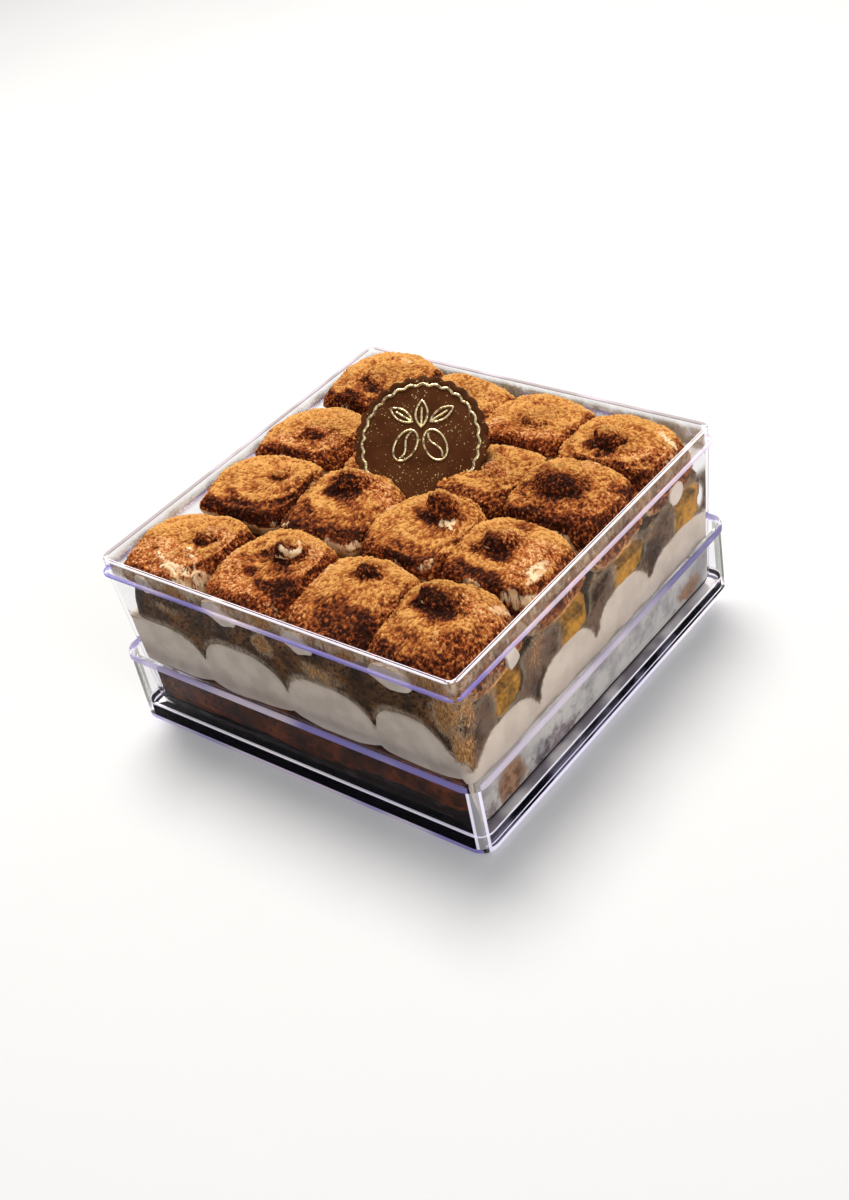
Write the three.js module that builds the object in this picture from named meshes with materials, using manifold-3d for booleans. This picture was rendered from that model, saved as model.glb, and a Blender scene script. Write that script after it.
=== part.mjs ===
// A square tiramisu in its clear plastic box. The box stands in its own lid, turned upside down.
// Millimetres, +Z up. The origin is on the table, under the middle of the lid.
// The -Y wall is the front of the box, and the +X wall is the side where the ladyfingers end.

import * as THREE from "three";
import { mergeVertices } from "three/addons/utils/BufferGeometryUtils.js";
import Module from "manifold-3d";

const wasm = await Module();
wasm.setup();

// Clear plastic: box and lid
const WALL = 1.2;
const CORNER_STEPS = 4;
const LID_HALF = 61.5;
const LID_CORNER = 5;
const LID_TOP = 23.5;
const LID_BEAD = { out: 0.4, height: 2.2 };
const FOOT = { height: 2.5, width: 1.5, round: 0.4 };
const BOX_BASE = LID_TOP - 19.5;
const BOX_TOP = 55.5;
const BOX_HALF = 60;
const BOX_BASE_HALF = 57.9;
const BOX_CORNER = 3.2;
const BOX_BASE_CORNER = 4.5;
const BOX_BASE_ROUND = 2;
const BOX_BEAD = { out: 0.8, height: 1.2, below_rim: 5.5 };

// Contents
const GAP = 0.3;
const FLOOR = BOX_BASE + WALL;
const PITCH = 28.4;
const COUNT = 4;
const FINGER = { thick: 15, end_power: 0.22, side_power: 0.5, around: 14, along: 10 };
const LOWER_BOTTOM = FLOOR + GAP;
const CREAM_BOTTOM = LOWER_BOTTOM + FINGER.thick + GAP;
const CREAM_NOTCH = 29;
const CREAM_PEAK = 37;
const UPPER_BOTTOM = CREAM_PEAK + 2 * GAP;
const UPPER_THICK = 10.2;
const UPPER_TOP = UPPER_BOTTOM + UPPER_THICK;
const DROOP = { from: 44, depth: 5.5 };

// Chocolate seal, stuck in the valley behind the second row and leaning back
const SEAL = {
  radius: 18.2, scallop: 0.75, flutes: 28, thick: 3, rim: 1.6, sunk: 0.5,
  place: [-1.6, 11, 63.8], turn: 24.9, lean: 47,
};

// Piped dollops, row by row from the front and from -X to +X: the middle (x, y) and the height
// of the mound, then the tip's (x, y) and height where the nozzle was pulled away.
const DOLLOPS = [
  [[-43, -43], 56.0, [-36.0, -42.7], 57.5],
  [[-13, -42], 57.5, [-9.0, -38.5], 61.0],
  [[15, -42], 57.5, [16.0, -37.5], 60.0],
  [[43, -42], 58.0, [41.0, -40.0], 61.0],
  [[-42, -13], 56.0, [-36.0, -12.0], 56.6],
  [[-13, -12], 57.5, [-14.0, -8.0], 61.0],
  [[16, -13], 58.5, [19.8, -7.5], 63.0],
  [[43, -13], 58.0, [41.0, -14.0], 60.5],
  [[-43, 13], 57.0, [-40.0, 10.5], 58.6],
  [[-14, 16], 56.5, [-13.0, 17.0], 58.0],
  [[16, 16], 57.0, [20.0, 14.5], 58.5],
  [[43, 15], 59.0, [40.0, 13.5], 62.0],
  [[-43, 44], 57.5, [-40.0, 40.0], 58.2],
  [[-14, 43], 57.0, [-14.0, 43.0], 58.6],
  [[14, 42], 57.5, [17.0, 38.0], 59.0],
  [[42, 41], 58.0, [41.0, 38.0], 60.8],
];
const MOUND = { radius: 17.5, around: 14, rings: 8, shoulder: 2.4, tip_share: 0.2 };

// The last row stands clear of the back wall, but for the dollop in the -X corner.
const FREE_STRIP = { depth: 5, from_x: -28 };

const deg = THREE.MathUtils.degToRad;
const smooth = THREE.MathUtils.smoothstep;
const power = (v, e) => Math.sign(v) * Math.abs(v) ** e;
const part = new THREE.Group();

// Half the width of the space inside the box at height z.
function insideHalf(z) {
  const share = (z - BOX_BASE) / (BOX_TOP - BOX_BEAD.below_rim - BOX_BASE);
  return THREE.MathUtils.lerp(BOX_BASE_HALF, BOX_HALF, Math.min(share, 1)) - WALL;
}

// The nearest place to (x, y, z) that clears the box's walls and its rounded corners.
function inside(x, y, z) {
  const half = insideHalf(z) - GAP;
  const middle = half - BOX_BASE_CORNER;
  const reach_x = Math.min(Math.abs(x), half);
  const reach_y = Math.min(Math.abs(y), half);
  const over_x = Math.max(reach_x - middle, 0);
  const over_y = Math.max(reach_y - middle, 0);
  const pull = Math.min(1, BOX_BASE_CORNER / Math.max(Math.hypot(over_x, over_y), GAP));
  return [
    Math.sign(x) * (Math.min(reach_x, middle) + over_x * pull),
    Math.sign(y) * (Math.min(reach_y, middle) + over_y * pull),
    z,
  ];
}

// How far the layers sag where the ladyfingers end at the +X wall.
const droop = (x) => DROOP.depth * smooth(x, DROOP.from, BOX_HALF - WALL);

// A geometry with its shared corners merged, so that it is one closed surface.
function closed(geometry) {
  geometry.deleteAttribute("normal");
  geometry.deleteAttribute("uv");
  return mergeVertices(geometry, 1e-4);
}

// Moves each corner of a geometry to place(x, y, z, index), then closes it.
function reshaped(geometry, place) {
  const at = geometry.attributes.position;
  for (let i = 0; i < at.count; i++) {
    at.setXYZ(i, ...place(at.getX(i), at.getY(i), at.getZ(i), i));
  }
  return closed(geometry);
}

function add(name, geometry, material) {
  const mesh = new THREE.Mesh(geometry, material);
  mesh.name = name;
  part.add(mesh);
  return mesh;
}

function finish(colour, roughness) {
  return new THREE.MeshStandardMaterial({ color: colour, roughness, metalness: 0 });
}

function clearPlastic() {
  const material = finish(0xe9eef2, 0.05);
  material.transparent = true;
  material.opacity = 0.3;
  return material;
}

// A square moulding: each profile point is [half width, height, corner radius], and the lathe's
// columns are led round a square with rounded corners instead of a circle.
function moulding(profile) {
  const columns = 4 * (CORNER_STEPS + 1);
  const points = profile.map(([half, z]) => new THREE.Vector2(half, z));
  return reshaped(new THREE.LatheGeometry(points, columns), (x, y, z, index) => {
    const column = Math.floor(index / profile.length) % columns;
    const [half, height, corner] = profile[index % profile.length];
    const quarter = Math.floor(column / (CORNER_STEPS + 1));
    const angle = deg(90) * (quarter + (column % (CORNER_STEPS + 1)) / CORNER_STEPS);
    const toward = deg(90) * (quarter + 0.5);
    const middle = half - corner;
    return [
      Math.sign(Math.cos(toward)) * middle + corner * Math.cos(angle),
      Math.sign(Math.sin(toward)) * middle + corner * Math.sin(angle),
      height,
    ];
  });
}

// The lid lies upside down. A foot ring round its edge carries it, and its rim has a bead.
function lid() {
  const { height, width, round } = FOOT;
  const inner = LID_HALF - WALL;
  const bead = LID_HALF + LID_BEAD.out;
  const bead_low = LID_TOP - LID_BEAD.height;
  const soft = 0.4;
  return moulding([
    [0, height, 0],
    [LID_HALF - width - round, height, LID_CORNER - width],
    [LID_HALF - width, height - round, LID_CORNER - width],
    [LID_HALF - width, 0, LID_CORNER - width],
    [LID_HALF - round, 0, LID_CORNER - round],
    [LID_HALF, 2 * round, LID_CORNER],
    [LID_HALF, bead_low - soft, LID_CORNER],
    [bead, bead_low, LID_CORNER],
    [bead, LID_TOP - soft, LID_CORNER],
    [bead - soft, LID_TOP, LID_CORNER - soft],
    [inner + soft, LID_TOP, LID_CORNER - WALL],
    [inner, LID_TOP - soft, LID_CORNER - WALL],
    [inner, height + WALL + 1, LID_CORNER - WALL],
    [inner - 1, height + WALL, LID_CORNER - WALL - 1],
    [0, height + WALL, 0],
  ]);
}

// The box widens towards its rim. The lid's rim rests on the bead below its neck when it is shut.
function box() {
  const ledge = BOX_TOP - BOX_BEAD.below_rim;
  const bead_half = BOX_HALF + BOX_BEAD.out;
  const soft = 0.3;
  const low = FLOOR + BOX_BASE_ROUND;
  return moulding([
    [0, BOX_BASE, 0],
    [BOX_BASE_HALF - BOX_BASE_ROUND, BOX_BASE, BOX_BASE_CORNER - 1],
    [BOX_BASE_HALF - 0.3 * BOX_BASE_ROUND, BOX_BASE + 0.3 * BOX_BASE_ROUND, BOX_BASE_CORNER],
    [BOX_BASE_HALF, BOX_BASE + BOX_BASE_ROUND, BOX_BASE_CORNER],
    [BOX_HALF, ledge, BOX_CORNER],
    [bead_half, ledge + soft, BOX_CORNER],
    [bead_half, ledge + BOX_BEAD.height - soft, BOX_CORNER],
    [BOX_HALF, ledge + BOX_BEAD.height, BOX_CORNER],
    [BOX_HALF, BOX_TOP - soft, BOX_CORNER],
    [BOX_HALF - soft, BOX_TOP, BOX_CORNER - soft],
    [BOX_HALF - WALL + soft, BOX_TOP, BOX_CORNER - WALL + soft],
    [BOX_HALF - WALL, BOX_TOP - soft, BOX_CORNER - WALL],
    [insideHalf(low), low, BOX_BASE_CORNER - WALL],
    [insideHalf(low) - BOX_BASE_ROUND, FLOOR, BOX_BASE_CORNER - WALL - 1],
    [0, FLOOR, 0],
  ]);
}

// A soaked ladyfinger: a long rounded sponge bar along X, pressed flat against its neighbours.
function ladyfinger(middle_y, bottom, thick, bends) {
  const length = 2 * insideHalf(bottom + thick);
  const blank = new THREE.SphereGeometry(1, FINGER.around, FINGER.along);
  return reshaped(blank, (sx, sy, sz) => {
    const section = Math.hypot(sx, sz);
    const girth = section ** FINGER.end_power;
    const x = (length / 2) * power(sy, FINGER.end_power + 0.1);
    const across = section > 0 ? power(sz / section, FINGER.side_power) : 0;
    const up = section > 0 ? power(sx / section, FINGER.side_power) : 0;
    const y = middle_y + ((PITCH - GAP) / 2) * girth * across;
    const z = bottom + (thick / 2) * (1 + girth * up) - (bends ? droop(x) : 0);
    return inside(x, y, z);
  });
}

// How far v lies from the middle of its dollop, from 0 to 1. The walls cut the outer dollops
// before they curve down.
function offMiddle(v) {
  const outer = ((COUNT - 1) / 2) * PITCH;
  if (Math.abs(v) > outer) {
    return (0.5 * (Math.abs(v) - outer)) / (PITCH / 2);
  }
  const cell = ((v + outer) / PITCH) % 1;
  return 2 * Math.min(cell, 1 - cell);
}

// The cream between the ladyfingers: dollops piped in a square that have joined into one layer,
// with a lobe for each dollop along every wall.
function creamLayer() {
  const cells = 4 * COUNT;
  const half = insideHalf(CREAM_PEAK) - GAP;
  const spread = (share) => {
    const lobe = Math.floor(share * COUNT * 0.9999);
    const within = 2 * (share * COUNT - lobe) - 1;
    const edge = lobe === 0 ? -half : (lobe - COUNT / 2) * PITCH;
    const next = lobe === COUNT - 1 ? half : (lobe + 1 - COUNT / 2) * PITCH;
    return THREE.MathUtils.lerp(edge, next, (1 + power(within, 0.6)) / 2);
  };
  const block = new THREE.BoxGeometry(1, 1, 1, cells, cells, 1);
  return reshaped(block, (sx, sy, sz) => {
    const x = spread(sx + 0.5);
    const y = spread(sy + 0.5);
    const dome = Math.sqrt((1 - offMiddle(x) ** 2) * (1 - offMiddle(y) ** 2));
    if (sz < 0) {
      return inside(x, y, CREAM_BOTTOM + 2 * (1 - dome));
    }
    return inside(x, y, THREE.MathUtils.lerp(CREAM_NOTCH, CREAM_PEAK, dome) - droop(x));
  });
}

// How far a dollop reaches from its middle towards an angle before it meets a neighbour or a wall.
function room(index, angle) {
  const [x, y] = DOLLOPS[index][0];
  const way = [Math.cos(angle), Math.sin(angle)];
  const wall = insideHalf(UPPER_TOP - DROOP.depth) - GAP;
  const back_wall = wall - (x > FREE_STRIP.from_x ? FREE_STRIP.depth : 0);
  let reach = MOUND.radius;
  DOLLOPS.forEach(([[nx, ny]], other) => {
    const apart = Math.hypot(nx - x, ny - y);
    const facing = other === index ? 0 : (way[0] * (nx - x) + way[1] * (ny - y)) / apart;
    if (facing > 0) {
      reach = Math.min(reach, (apart / 2 - GAP / 2) / facing);
    }
  });
  for (const [along, at, limit] of [
    [way[0], x, wall], [-way[0], -x, wall], [-way[1], -y, wall], [way[1], y, back_wall],
  ]) {
    if (along > 0) {
      reach = Math.min(reach, (limit - at) / along);
    }
  }
  return reach;
}

// A piped dollop: a mound pressed flat where it meets its neighbours, with a soft pointed tip.
function dollop(index) {
  const [[x, y], height, [tip_x, tip_y], tip_height] = DOLLOPS[index];
  const bottom = UPPER_TOP + 2 * GAP;
  const points = [new THREE.Vector2(0, 0)];
  for (let ring = 0; ring <= MOUND.rings; ring++) {
    points.push(new THREE.Vector2(1, ring));
  }
  points[points.length - 1].x = 0;
  const blank = new THREE.LatheGeometry(points, MOUND.around);
  return reshaped(blank, (sx, sy, sz, i) => {
    const level = sy / MOUND.rings;
    const angle = (Math.floor(i / points.length) / MOUND.around) * 2 * Math.PI;
    const mound_share = 1 - MOUND.tip_share;
    const body = Math.sin(deg(90) * Math.min(level / mound_share, 1));
    const tip = Math.max(level - mound_share, 0) / MOUND.tip_share;
    const swell = (1 - body ** MOUND.shoulder) ** (1 / MOUND.shoulder);
    const narrow = 3.2 * (1 - tip) ** 1.5;
    const radius = Math.hypot(sx, sz) * (MOUND.radius * swell + narrow);
    const lean = body ** 3;
    const off_x = (tip_x - x) * lean + radius * Math.cos(angle);
    const off_y = (tip_y - y) * lean + radius * Math.sin(angle);
    const pressed = Math.min(1, room(index, Math.atan2(off_y, off_x)) / Math.hypot(off_x, off_y));
    const px = x + off_x * pressed;
    const py = y + off_y * pressed;
    const z = THREE.MathUtils.lerp(bottom, height, body) + (tip_height - height) * tip;
    return inside(px, py, z - droop(px) * (1 - level));
  });
}

// The seal's outline: a disc with shallow round flutes.
function scalloped(radius) {
  const outline = new THREE.Shape();
  const steps = 4 * SEAL.flutes;
  for (let i = 0; i < steps; i++) {
    const angle = (2 * Math.PI * i) / steps;
    const reach = radius + SEAL.scallop * Math.abs(Math.cos((SEAL.flutes / 2) * angle));
    outline[i ? "lineTo" : "moveTo"](reach * Math.cos(angle), reach * Math.sin(angle));
  }
  return outline;
}

// Where the seal stands. Its flat back face is at z = 0 before it is turned.
function sealPlace() {
  const pose = new THREE.Object3D();
  pose.rotation.set(deg(90 - SEAL.lean), 0, deg(SEAL.turn), "ZYX");
  pose.position.set(...SEAL.place);
  pose.updateMatrix();
  return pose.matrix;
}

// A chocolate disc, with its face sunk a little inside the rim.
function seal(grow) {
  const body = new THREE.ExtrudeGeometry(scalloped(SEAL.radius + grow), {
    depth: SEAL.thick + 2 * grow, bevelEnabled: false, curveSegments: 1,
  });
  body.translate(0, 0, -SEAL.thick - grow);
  return closed(body);
}

function solid(geometry) {
  return new wasm.Manifold(new wasm.Mesh({
    numProp: 3,
    vertProperties: new Float32Array(geometry.attributes.position.array),
    triVerts: new Uint32Array(geometry.index.array),
  }));
}

function geometryOf(shape) {
  const mesh = shape.getMesh();
  const geometry = new THREE.BufferGeometry();
  geometry.setAttribute("position", new THREE.BufferAttribute(mesh.vertProperties, 3));
  geometry.setIndex(new THREE.BufferAttribute(mesh.triVerts, 1));
  return geometry;
}

function sealFace() {
  const face = new THREE.CylinderGeometry(
    SEAL.radius - SEAL.rim, SEAL.radius - SEAL.rim, 2 * SEAL.sunk, 48,
  );
  face.rotateX(deg(90));
  return closed(face);
}

add("lid", lid(), clearPlastic());
add("box", box(), clearPlastic());

const lower_sponge = finish(0x5a3a2c, 0.8);
const upper_sponge = finish(0x8a6430, 0.85);
const cream = finish(0xd8d0c6, 0.55);
const dusted = finish(0x9a5a28, 0.95);

for (let row = 0; row < COUNT; row++) {
  const middle = (row - (COUNT - 1) / 2) * PITCH;
  const lower = ladyfinger(middle, LOWER_BOTTOM, FINGER.thick, false);
  const upper = ladyfinger(middle, UPPER_BOTTOM, UPPER_THICK, true);
  add(`ladyfinger_lower_${row + 1}`, lower, lower_sponge.clone());
  add(`ladyfinger_upper_${row + 1}`, upper, upper_sponge.clone());
}
add("cream_middle", creamLayer(), cream);

const seal_body = solid(seal(0)).subtract(solid(sealFace()));
const seal_place = sealPlace();
const seal_room = solid(seal(GAP).applyMatrix4(seal_place));
add("chocolate_seal", geometryOf(seal_body).applyMatrix4(seal_place), finish(0x4e3020, 0.45));

DOLLOPS.forEach((_, index) => {
  const name = `dollop_${Math.floor(index / COUNT) + 1}_${(index % COUNT) + 1}`;
  const whole = solid(dollop(index));
  const cut = whole.subtract(seal_room);
  add(name, geometryOf(cut), dusted.clone());
});

export default part;
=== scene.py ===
"""A square tiramisu in its clear plastic box, which stands in its own upturned lid.

Sizes and places are in millimetres, and MM turns them into Blender's metres. The front wall
faces -Y, and the ladyfingers end at the side wall, which faces +X.
"""

import math

import bpy
import numpy as np
from mathutils import Euler, Matrix, Vector
from mathutils.bvhtree import BVHTree


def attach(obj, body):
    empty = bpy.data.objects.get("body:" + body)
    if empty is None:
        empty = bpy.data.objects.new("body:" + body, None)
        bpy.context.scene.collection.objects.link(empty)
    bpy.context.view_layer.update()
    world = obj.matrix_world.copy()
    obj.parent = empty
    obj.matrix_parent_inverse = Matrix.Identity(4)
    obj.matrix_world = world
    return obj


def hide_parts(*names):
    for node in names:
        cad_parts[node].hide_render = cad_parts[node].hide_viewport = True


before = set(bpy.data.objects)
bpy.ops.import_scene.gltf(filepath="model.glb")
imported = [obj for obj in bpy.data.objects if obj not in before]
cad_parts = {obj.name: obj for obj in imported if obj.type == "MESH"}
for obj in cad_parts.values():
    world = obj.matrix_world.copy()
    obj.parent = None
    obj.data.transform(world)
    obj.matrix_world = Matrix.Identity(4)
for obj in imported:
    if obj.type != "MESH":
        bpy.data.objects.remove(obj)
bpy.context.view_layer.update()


# ---- Lid, lying upside down under the box ---------------------------------------------------
# The lid is one injection moulding of clear polystyrene, with a foot ring round its flat plate
# and a thicker bead round its rim. Its edges, bead and corners carry painted highlights and
# painted lilac reflections, and its foot carries painted shade.
MM = 0.001
WALL = 1.2
CORNER_STEPS = 10
TIGHTEST_CORNER = 0.8
LID_HALF = 61.5
LID_CORNER = 5.0
LID_TOP = 23.5
LID_BEAD_OUT = 0.4
LID_BEAD_HEIGHT = 2.2
LID_FILLET = 1.6
FOOT_HEIGHT = 2.5
FOOT_WIDTH = 1.5
# FOOT_LINE bounds the painted highlight line inside the foot, and FOOT_EDGE the painted reflection
# round its lowest edge.
FOOT_LINE = (1.1, 1.5)
FOOT_EDGE = 1.7
UNDERSIDE_RINGS = (9.0, 3.0)
LID_GLINT = (8.0, 14.0)
LEFT_AND_RIGHT = (0, 2)
NEAR_AND_FAR = (1, 3)
PLASTIC_BEND = 1.06
SMOOTH_ANGLE = 35.0


def add_node(tree, kind, inputs=(), **settings):
    """A node with its settings. inputs gives each socket a value or a link, by name or number."""
    node = tree.nodes.new(kind)
    for name, value in settings.items():
        setattr(node, name, value)
    for key, value in dict(inputs).items():
        if isinstance(value, bpy.types.NodeSocket):
            tree.links.new(value, node.inputs[key])
        else:
            node.inputs[key].default_value = value
    return node


def calc(tree, operation, a, b=0.0, clamp=False):
    node = add_node(tree, "ShaderNodeMath", {0: a, 1: b}, operation=operation, use_clamp=clamp)
    return node.outputs[0]


def plus(tree, a, b, clamp=False):
    return calc(tree, "ADD", a, b, clamp)


def minus(tree, a, b, clamp=False):
    return calc(tree, "SUBTRACT", a, b, clamp)


def times(tree, a, b, clamp=False):
    return calc(tree, "MULTIPLY", a, b, clamp)


def fade(tree, value, start, end, low=0.0, high=1.0):
    """low up to start, high from end on, and a smooth change between."""
    node = add_node(
        tree, "ShaderNodeMapRange",
        {"Value": value, "From Min": start, "From Max": end, "To Min": low, "To Max": high},
        interpolation_type="SMOOTHSTEP",
    )
    return node.outputs["Result"]


def grain(tree, where, size, detail=2.0, roughness=0.5, curl=0.0):
    """Noise from 0 to 1 whose lumps are about size millimetres across."""
    node = add_node(
        tree, "ShaderNodeTexNoise",
        {"Vector": where, "Scale": 1 / (size * MM), "Detail": detail, "Roughness": roughness,
         "Distortion": curl},
    )
    return node.outputs["Fac"]


def object_place(tree):
    return tree.nodes.new("ShaderNodeTexCoord").outputs["Object"]


def stretched(tree, where, scale):
    return add_node(tree, "ShaderNodeMapping", {"Vector": where, "Scale": scale}).outputs[0]


def blended(tree, share, low, high):
    """A colour between low and high, which are colours or sockets. A Mix node takes its two
    colours at inputs 6 and 7 and gives the blend at output 2."""
    node = tree.nodes.new("ShaderNodeMix")
    node.data_type = "RGBA"
    for socket, value in ((node.inputs[0], share), (node.inputs[6], low), (node.inputs[7], high)):
        if isinstance(value, bpy.types.NodeSocket):
            tree.links.new(value, socket)
        else:
            socket.default_value = (*value, 1.0) if socket.type == "RGBA" else value
    return node.outputs[2]


def ramped(tree, value, stops):
    """A colour from a row of (position, colour) stops."""
    ramp = add_node(tree, "ShaderNodeValToRGB", {"Fac": value})
    band = ramp.color_ramp
    while len(band.elements) < len(stops):
        band.elements.new(0.5)
    for element, (position, colour) in zip(band.elements, stops):
        element.position = position
        element.color = (*colour, 1.0)
    return ramp.outputs["Color"]


def bumped(tree, height, depth):
    """A normal from a height that stands for depth millimetres."""
    node = add_node(
        tree, "ShaderNodeBump", {"Height": height, "Distance": depth * MM, "Strength": 1.0}
    )
    return node.outputs["Normal"]


def new_finish(name):
    """A material, its node tree and its Principled shader."""
    material = bpy.data.materials.new(name)
    material.use_nodes = True
    return material, material.node_tree, material.node_tree.nodes["Principled BSDF"]


def set_sockets(tree, shader, values):
    for name, value in values.items():
        if isinstance(value, bpy.types.NodeSocket):
            tree.links.new(value, shader.inputs[name])
        else:
            shader.inputs[name].default_value = value


def new_effect(name, given, results):
    """A shader node group with its input and output nodes. given and results name the sockets."""
    group = bpy.data.node_groups.new(name, "ShaderNodeTree")
    for in_out, sockets in (("INPUT", given), ("OUTPUT", results)):
        for label, kind in sockets.items():
            group.interface.new_socket(label, in_out=in_out, socket_type=f"NodeSocket{kind}")
    return group, group.nodes.new("NodeGroupInput").outputs, group.nodes.new("NodeGroupOutput")


def polished_effect():
    """Moulded plastic: a tint that drifts along the edge, faint scuffs and a slow waviness."""
    tree, given, result = new_effect(
        "polished_plastic", {"Tint": "Color", "Other Tint": "Color", "Drift": "Float"},
        {"Tone": "Color", "Roughness": "Float", "Normal": "Vector"},
    )
    where = object_place(tree)
    cloud = grain(tree, where, 14.0, detail=3.0)
    scuff = grain(tree, stretched(tree, where, (1.0, 1.0, 4.0)), 1.6, detail=4.0)
    drifting = add_node(
        tree, "ShaderNodeVectorMath", {0: where, "Scale": given["Drift"]}, operation="SCALE",
    ).outputs[0]
    drift = fade(tree, grain(tree, drifting, 45.0, detail=2.0), 0.42, 0.58)
    set_sockets(tree, result, {
        "Tone": blended(tree, drift, given["Tint"], given["Other Tint"]),
        "Roughness": fade(tree, times(tree, cloud, scuff), 0.15, 0.45, 0.02, 0.07),
        "Normal": bumped(tree, cloud, 0.03),
    })
    return tree


polished = polished_effect()


def clear_plastic(name, tint, other_tint, milkiness, glow=0.0, drift=1.0):
    """Polished polystyrene that lets lamps through. milkiness is the share that scatters light,
    glow is painted light that the plastic gives off for painted highlights and reflections on
    its edges, and drift is how quickly one tint changes into the other."""
    material, tree, shader = new_finish(name)
    look = add_node(
        tree, "ShaderNodeGroup",
        {"Tint": (*tint, 1.0), "Other Tint": (*other_tint, 1.0), "Drift": drift},
        node_tree=polished,
    ).outputs
    set_sockets(tree, shader, {
        "Base Color": look["Tone"],
        "Roughness": look["Roughness"],
        "Normal": look["Normal"],
        "IOR": PLASTIC_BEND,
        "Transmission Weight": 1.0 - milkiness,
        "Emission Color": look["Tone"],
        "Emission Strength": glow,
    })
    through = add_node(tree, "ShaderNodeBsdfTransparent", {"Color": (0.97, 0.97, 0.98, 1.0)})
    path = tree.nodes.new("ShaderNodeLightPath")
    both = add_node(
        tree, "ShaderNodeMixShader",
        {0: path.outputs["Is Shadow Ray"], 1: shader.outputs[0], 2: through.outputs[0]},
    )
    tree.links.new(both.outputs[0], tree.nodes["Material Output"].inputs["Surface"])
    return material


def soften(mesh, angle):
    mesh.shade_smooth()
    mesh.set_sharp_from_angle(angle=math.radians(angle))


def registered(piece, replaced=()):
    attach(piece, "root")
    if replaced:
        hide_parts(*replaced)
    return piece


def made(name, shape, materials, replaced=()):
    """A finished piece. shape is its points in millimetres and its faces, and replaced are the
    nodes that it stands for."""
    points, faces = shape
    mesh = bpy.data.meshes.new(name)
    mesh.from_pydata((np.asarray(points, float) * MM).tolist(), [], faces)
    mesh.validate()
    for material in materials:
        mesh.materials.append(material)
    piece = bpy.data.objects.new(name, mesh)
    bpy.context.scene.collection.objects.link(piece)
    soften(mesh, SMOOTH_ANGLE)
    return registered(piece, replaced)


def eased(profile, steps=4):
    """Rounds an open profile. Its points are (half width, height, how far the rounding starts)."""
    points = [profile[0][:2]]
    for before, corner, after in zip(profile, profile[1:], profile[2:]):
        a, b, c = (np.array(point[:2], float) for point in (before, corner, after))
        start = b + (a - b) / np.linalg.norm(a - b) * corner[2]
        end = b + (c - b) / np.linalg.norm(c - b) * corner[2]
        for step in range(steps + 1):
            t = step / steps
            points.append(tuple((1 - t) ** 2 * start + 2 * t * (1 - t) * b + t * t * end))
    return points + [profile[-1][:2]]


def square_ring(half, corner, height):
    """One ring of points round a square with rounded corners."""
    ring = []
    for quarter in range(4):
        toward = (quarter + 0.5) * math.pi / 2
        middle_x = math.copysign(half - corner, math.cos(toward))
        middle_y = math.copysign(half - corner, math.sin(toward))
        for step in range(CORNER_STEPS + 1):
            angle = (quarter + step / CORNER_STEPS) * math.pi / 2
            ring.append((
                middle_x + corner * math.cos(angle), middle_y + corner * math.sin(angle), height,
            ))
    return ring


def ring_faces(rings, count, first=0, closed=False):
    """Faces between rings of count points each. closed also joins the last ring to the first."""
    faces = []
    for ring in range(rings if closed else rings - 1):
        low, high = first + ring * count, first + (ring + 1) % rings * count
        for i in range(count):
            j = (i + 1) % count
            faces.append((low + i, low + j, high + j, high + i))
    return faces


def moulding(profile, corner_at):
    """Points and faces of a square moulding. The profile runs from the middle of its underside,
    out and up round the rim, and back to the middle of its floor."""
    points = []
    count = 4 * (CORNER_STEPS + 1)
    for half, height in profile[1:-1]:
        points += square_ring(half, corner_at(half, height), height)
    faces = ring_faces(len(profile) - 2, count)
    faces.append(tuple(reversed(range(count))))
    faces.append(tuple(range(len(points) - count, len(points))))
    return points, faces


def lid_corner(half, height):
    return max(LID_CORNER + half - LID_HALF, TIGHTEST_CORNER)


lid_inner = LID_HALF - WALL
lid_bead = LID_HALF + LID_BEAD_OUT
lid_bead_low = LID_TOP - LID_BEAD_HEIGHT
lid_floor = FOOT_HEIGHT + WALL
foot_wall = LID_HALF - FOOT_WIDTH
lid_profile = eased([
    (0.0, FOOT_HEIGHT),
    (LID_HALF - UNDERSIDE_RINGS[0], FOOT_HEIGHT, 0.1),
    (LID_HALF - UNDERSIDE_RINGS[1], FOOT_HEIGHT, 0.1),
    (foot_wall, FOOT_HEIGHT, 0.4),
    (foot_wall, FOOT_LINE[1], 0.02),
    (foot_wall, FOOT_LINE[0], 0.02),
    (foot_wall, 0.0, 0.15),
    (LID_HALF, 0.0, 0.8),
    (LID_HALF, FOOT_EDGE, 0.05),
    (LID_HALF, lid_bead_low, 0.1),
    (lid_bead, lid_bead_low + 0.2, 0.15),
    (lid_bead, LID_TOP, 0.5),
    (lid_inner, LID_TOP, 0.4),
    (lid_inner, lid_floor, LID_FILLET),
    (0.0, lid_floor),
])
clear = clear_plastic("clear_polystyrene", (0.93, 0.93, 0.95), (0.95, 0.95, 0.96), 0.0)
# Painted reflection: a lilac edge colour with a faint glow, for the lilac light that the bead and
# edges reflect.
lilac_reflection = clear_plastic("painted_lilac_reflection", (0.82, 0.72, 0.88), (0.3, 0.27, 0.66), 0.6, 0.06)
# Painted highlight: a glowing white edge colour for the bright lines along the edges and corners.
white_highlight = clear_plastic(
    "painted_white_highlight", (0.98, 0.94, 1.0), (0.84, 0.8, 0.95), 0.85, 0.26,
)
shaded_foot = clear_plastic("shaded_foot", (0.0025, 0.0025, 0.005), (0.006, 0.006, 0.009), 1.0)
# Painted highlight: a pale milky sheen between the white highlight lines of the near and far
# corners.
corner_sheen = clear_plastic("painted_corner_sheen", (1.0, 1.0, 1.0), (0.93, 0.92, 0.98), 0.35)
# Painted shade: a near black foot with dark grey streaks, for the sides away from the front.
painted_streaked_foot_shade = clear_plastic(
    "painted_streaked_foot_shade", (0.003, 0.003, 0.006), (0.12, 0.115, 0.16), 1.0, drift=3.0,
)
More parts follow.
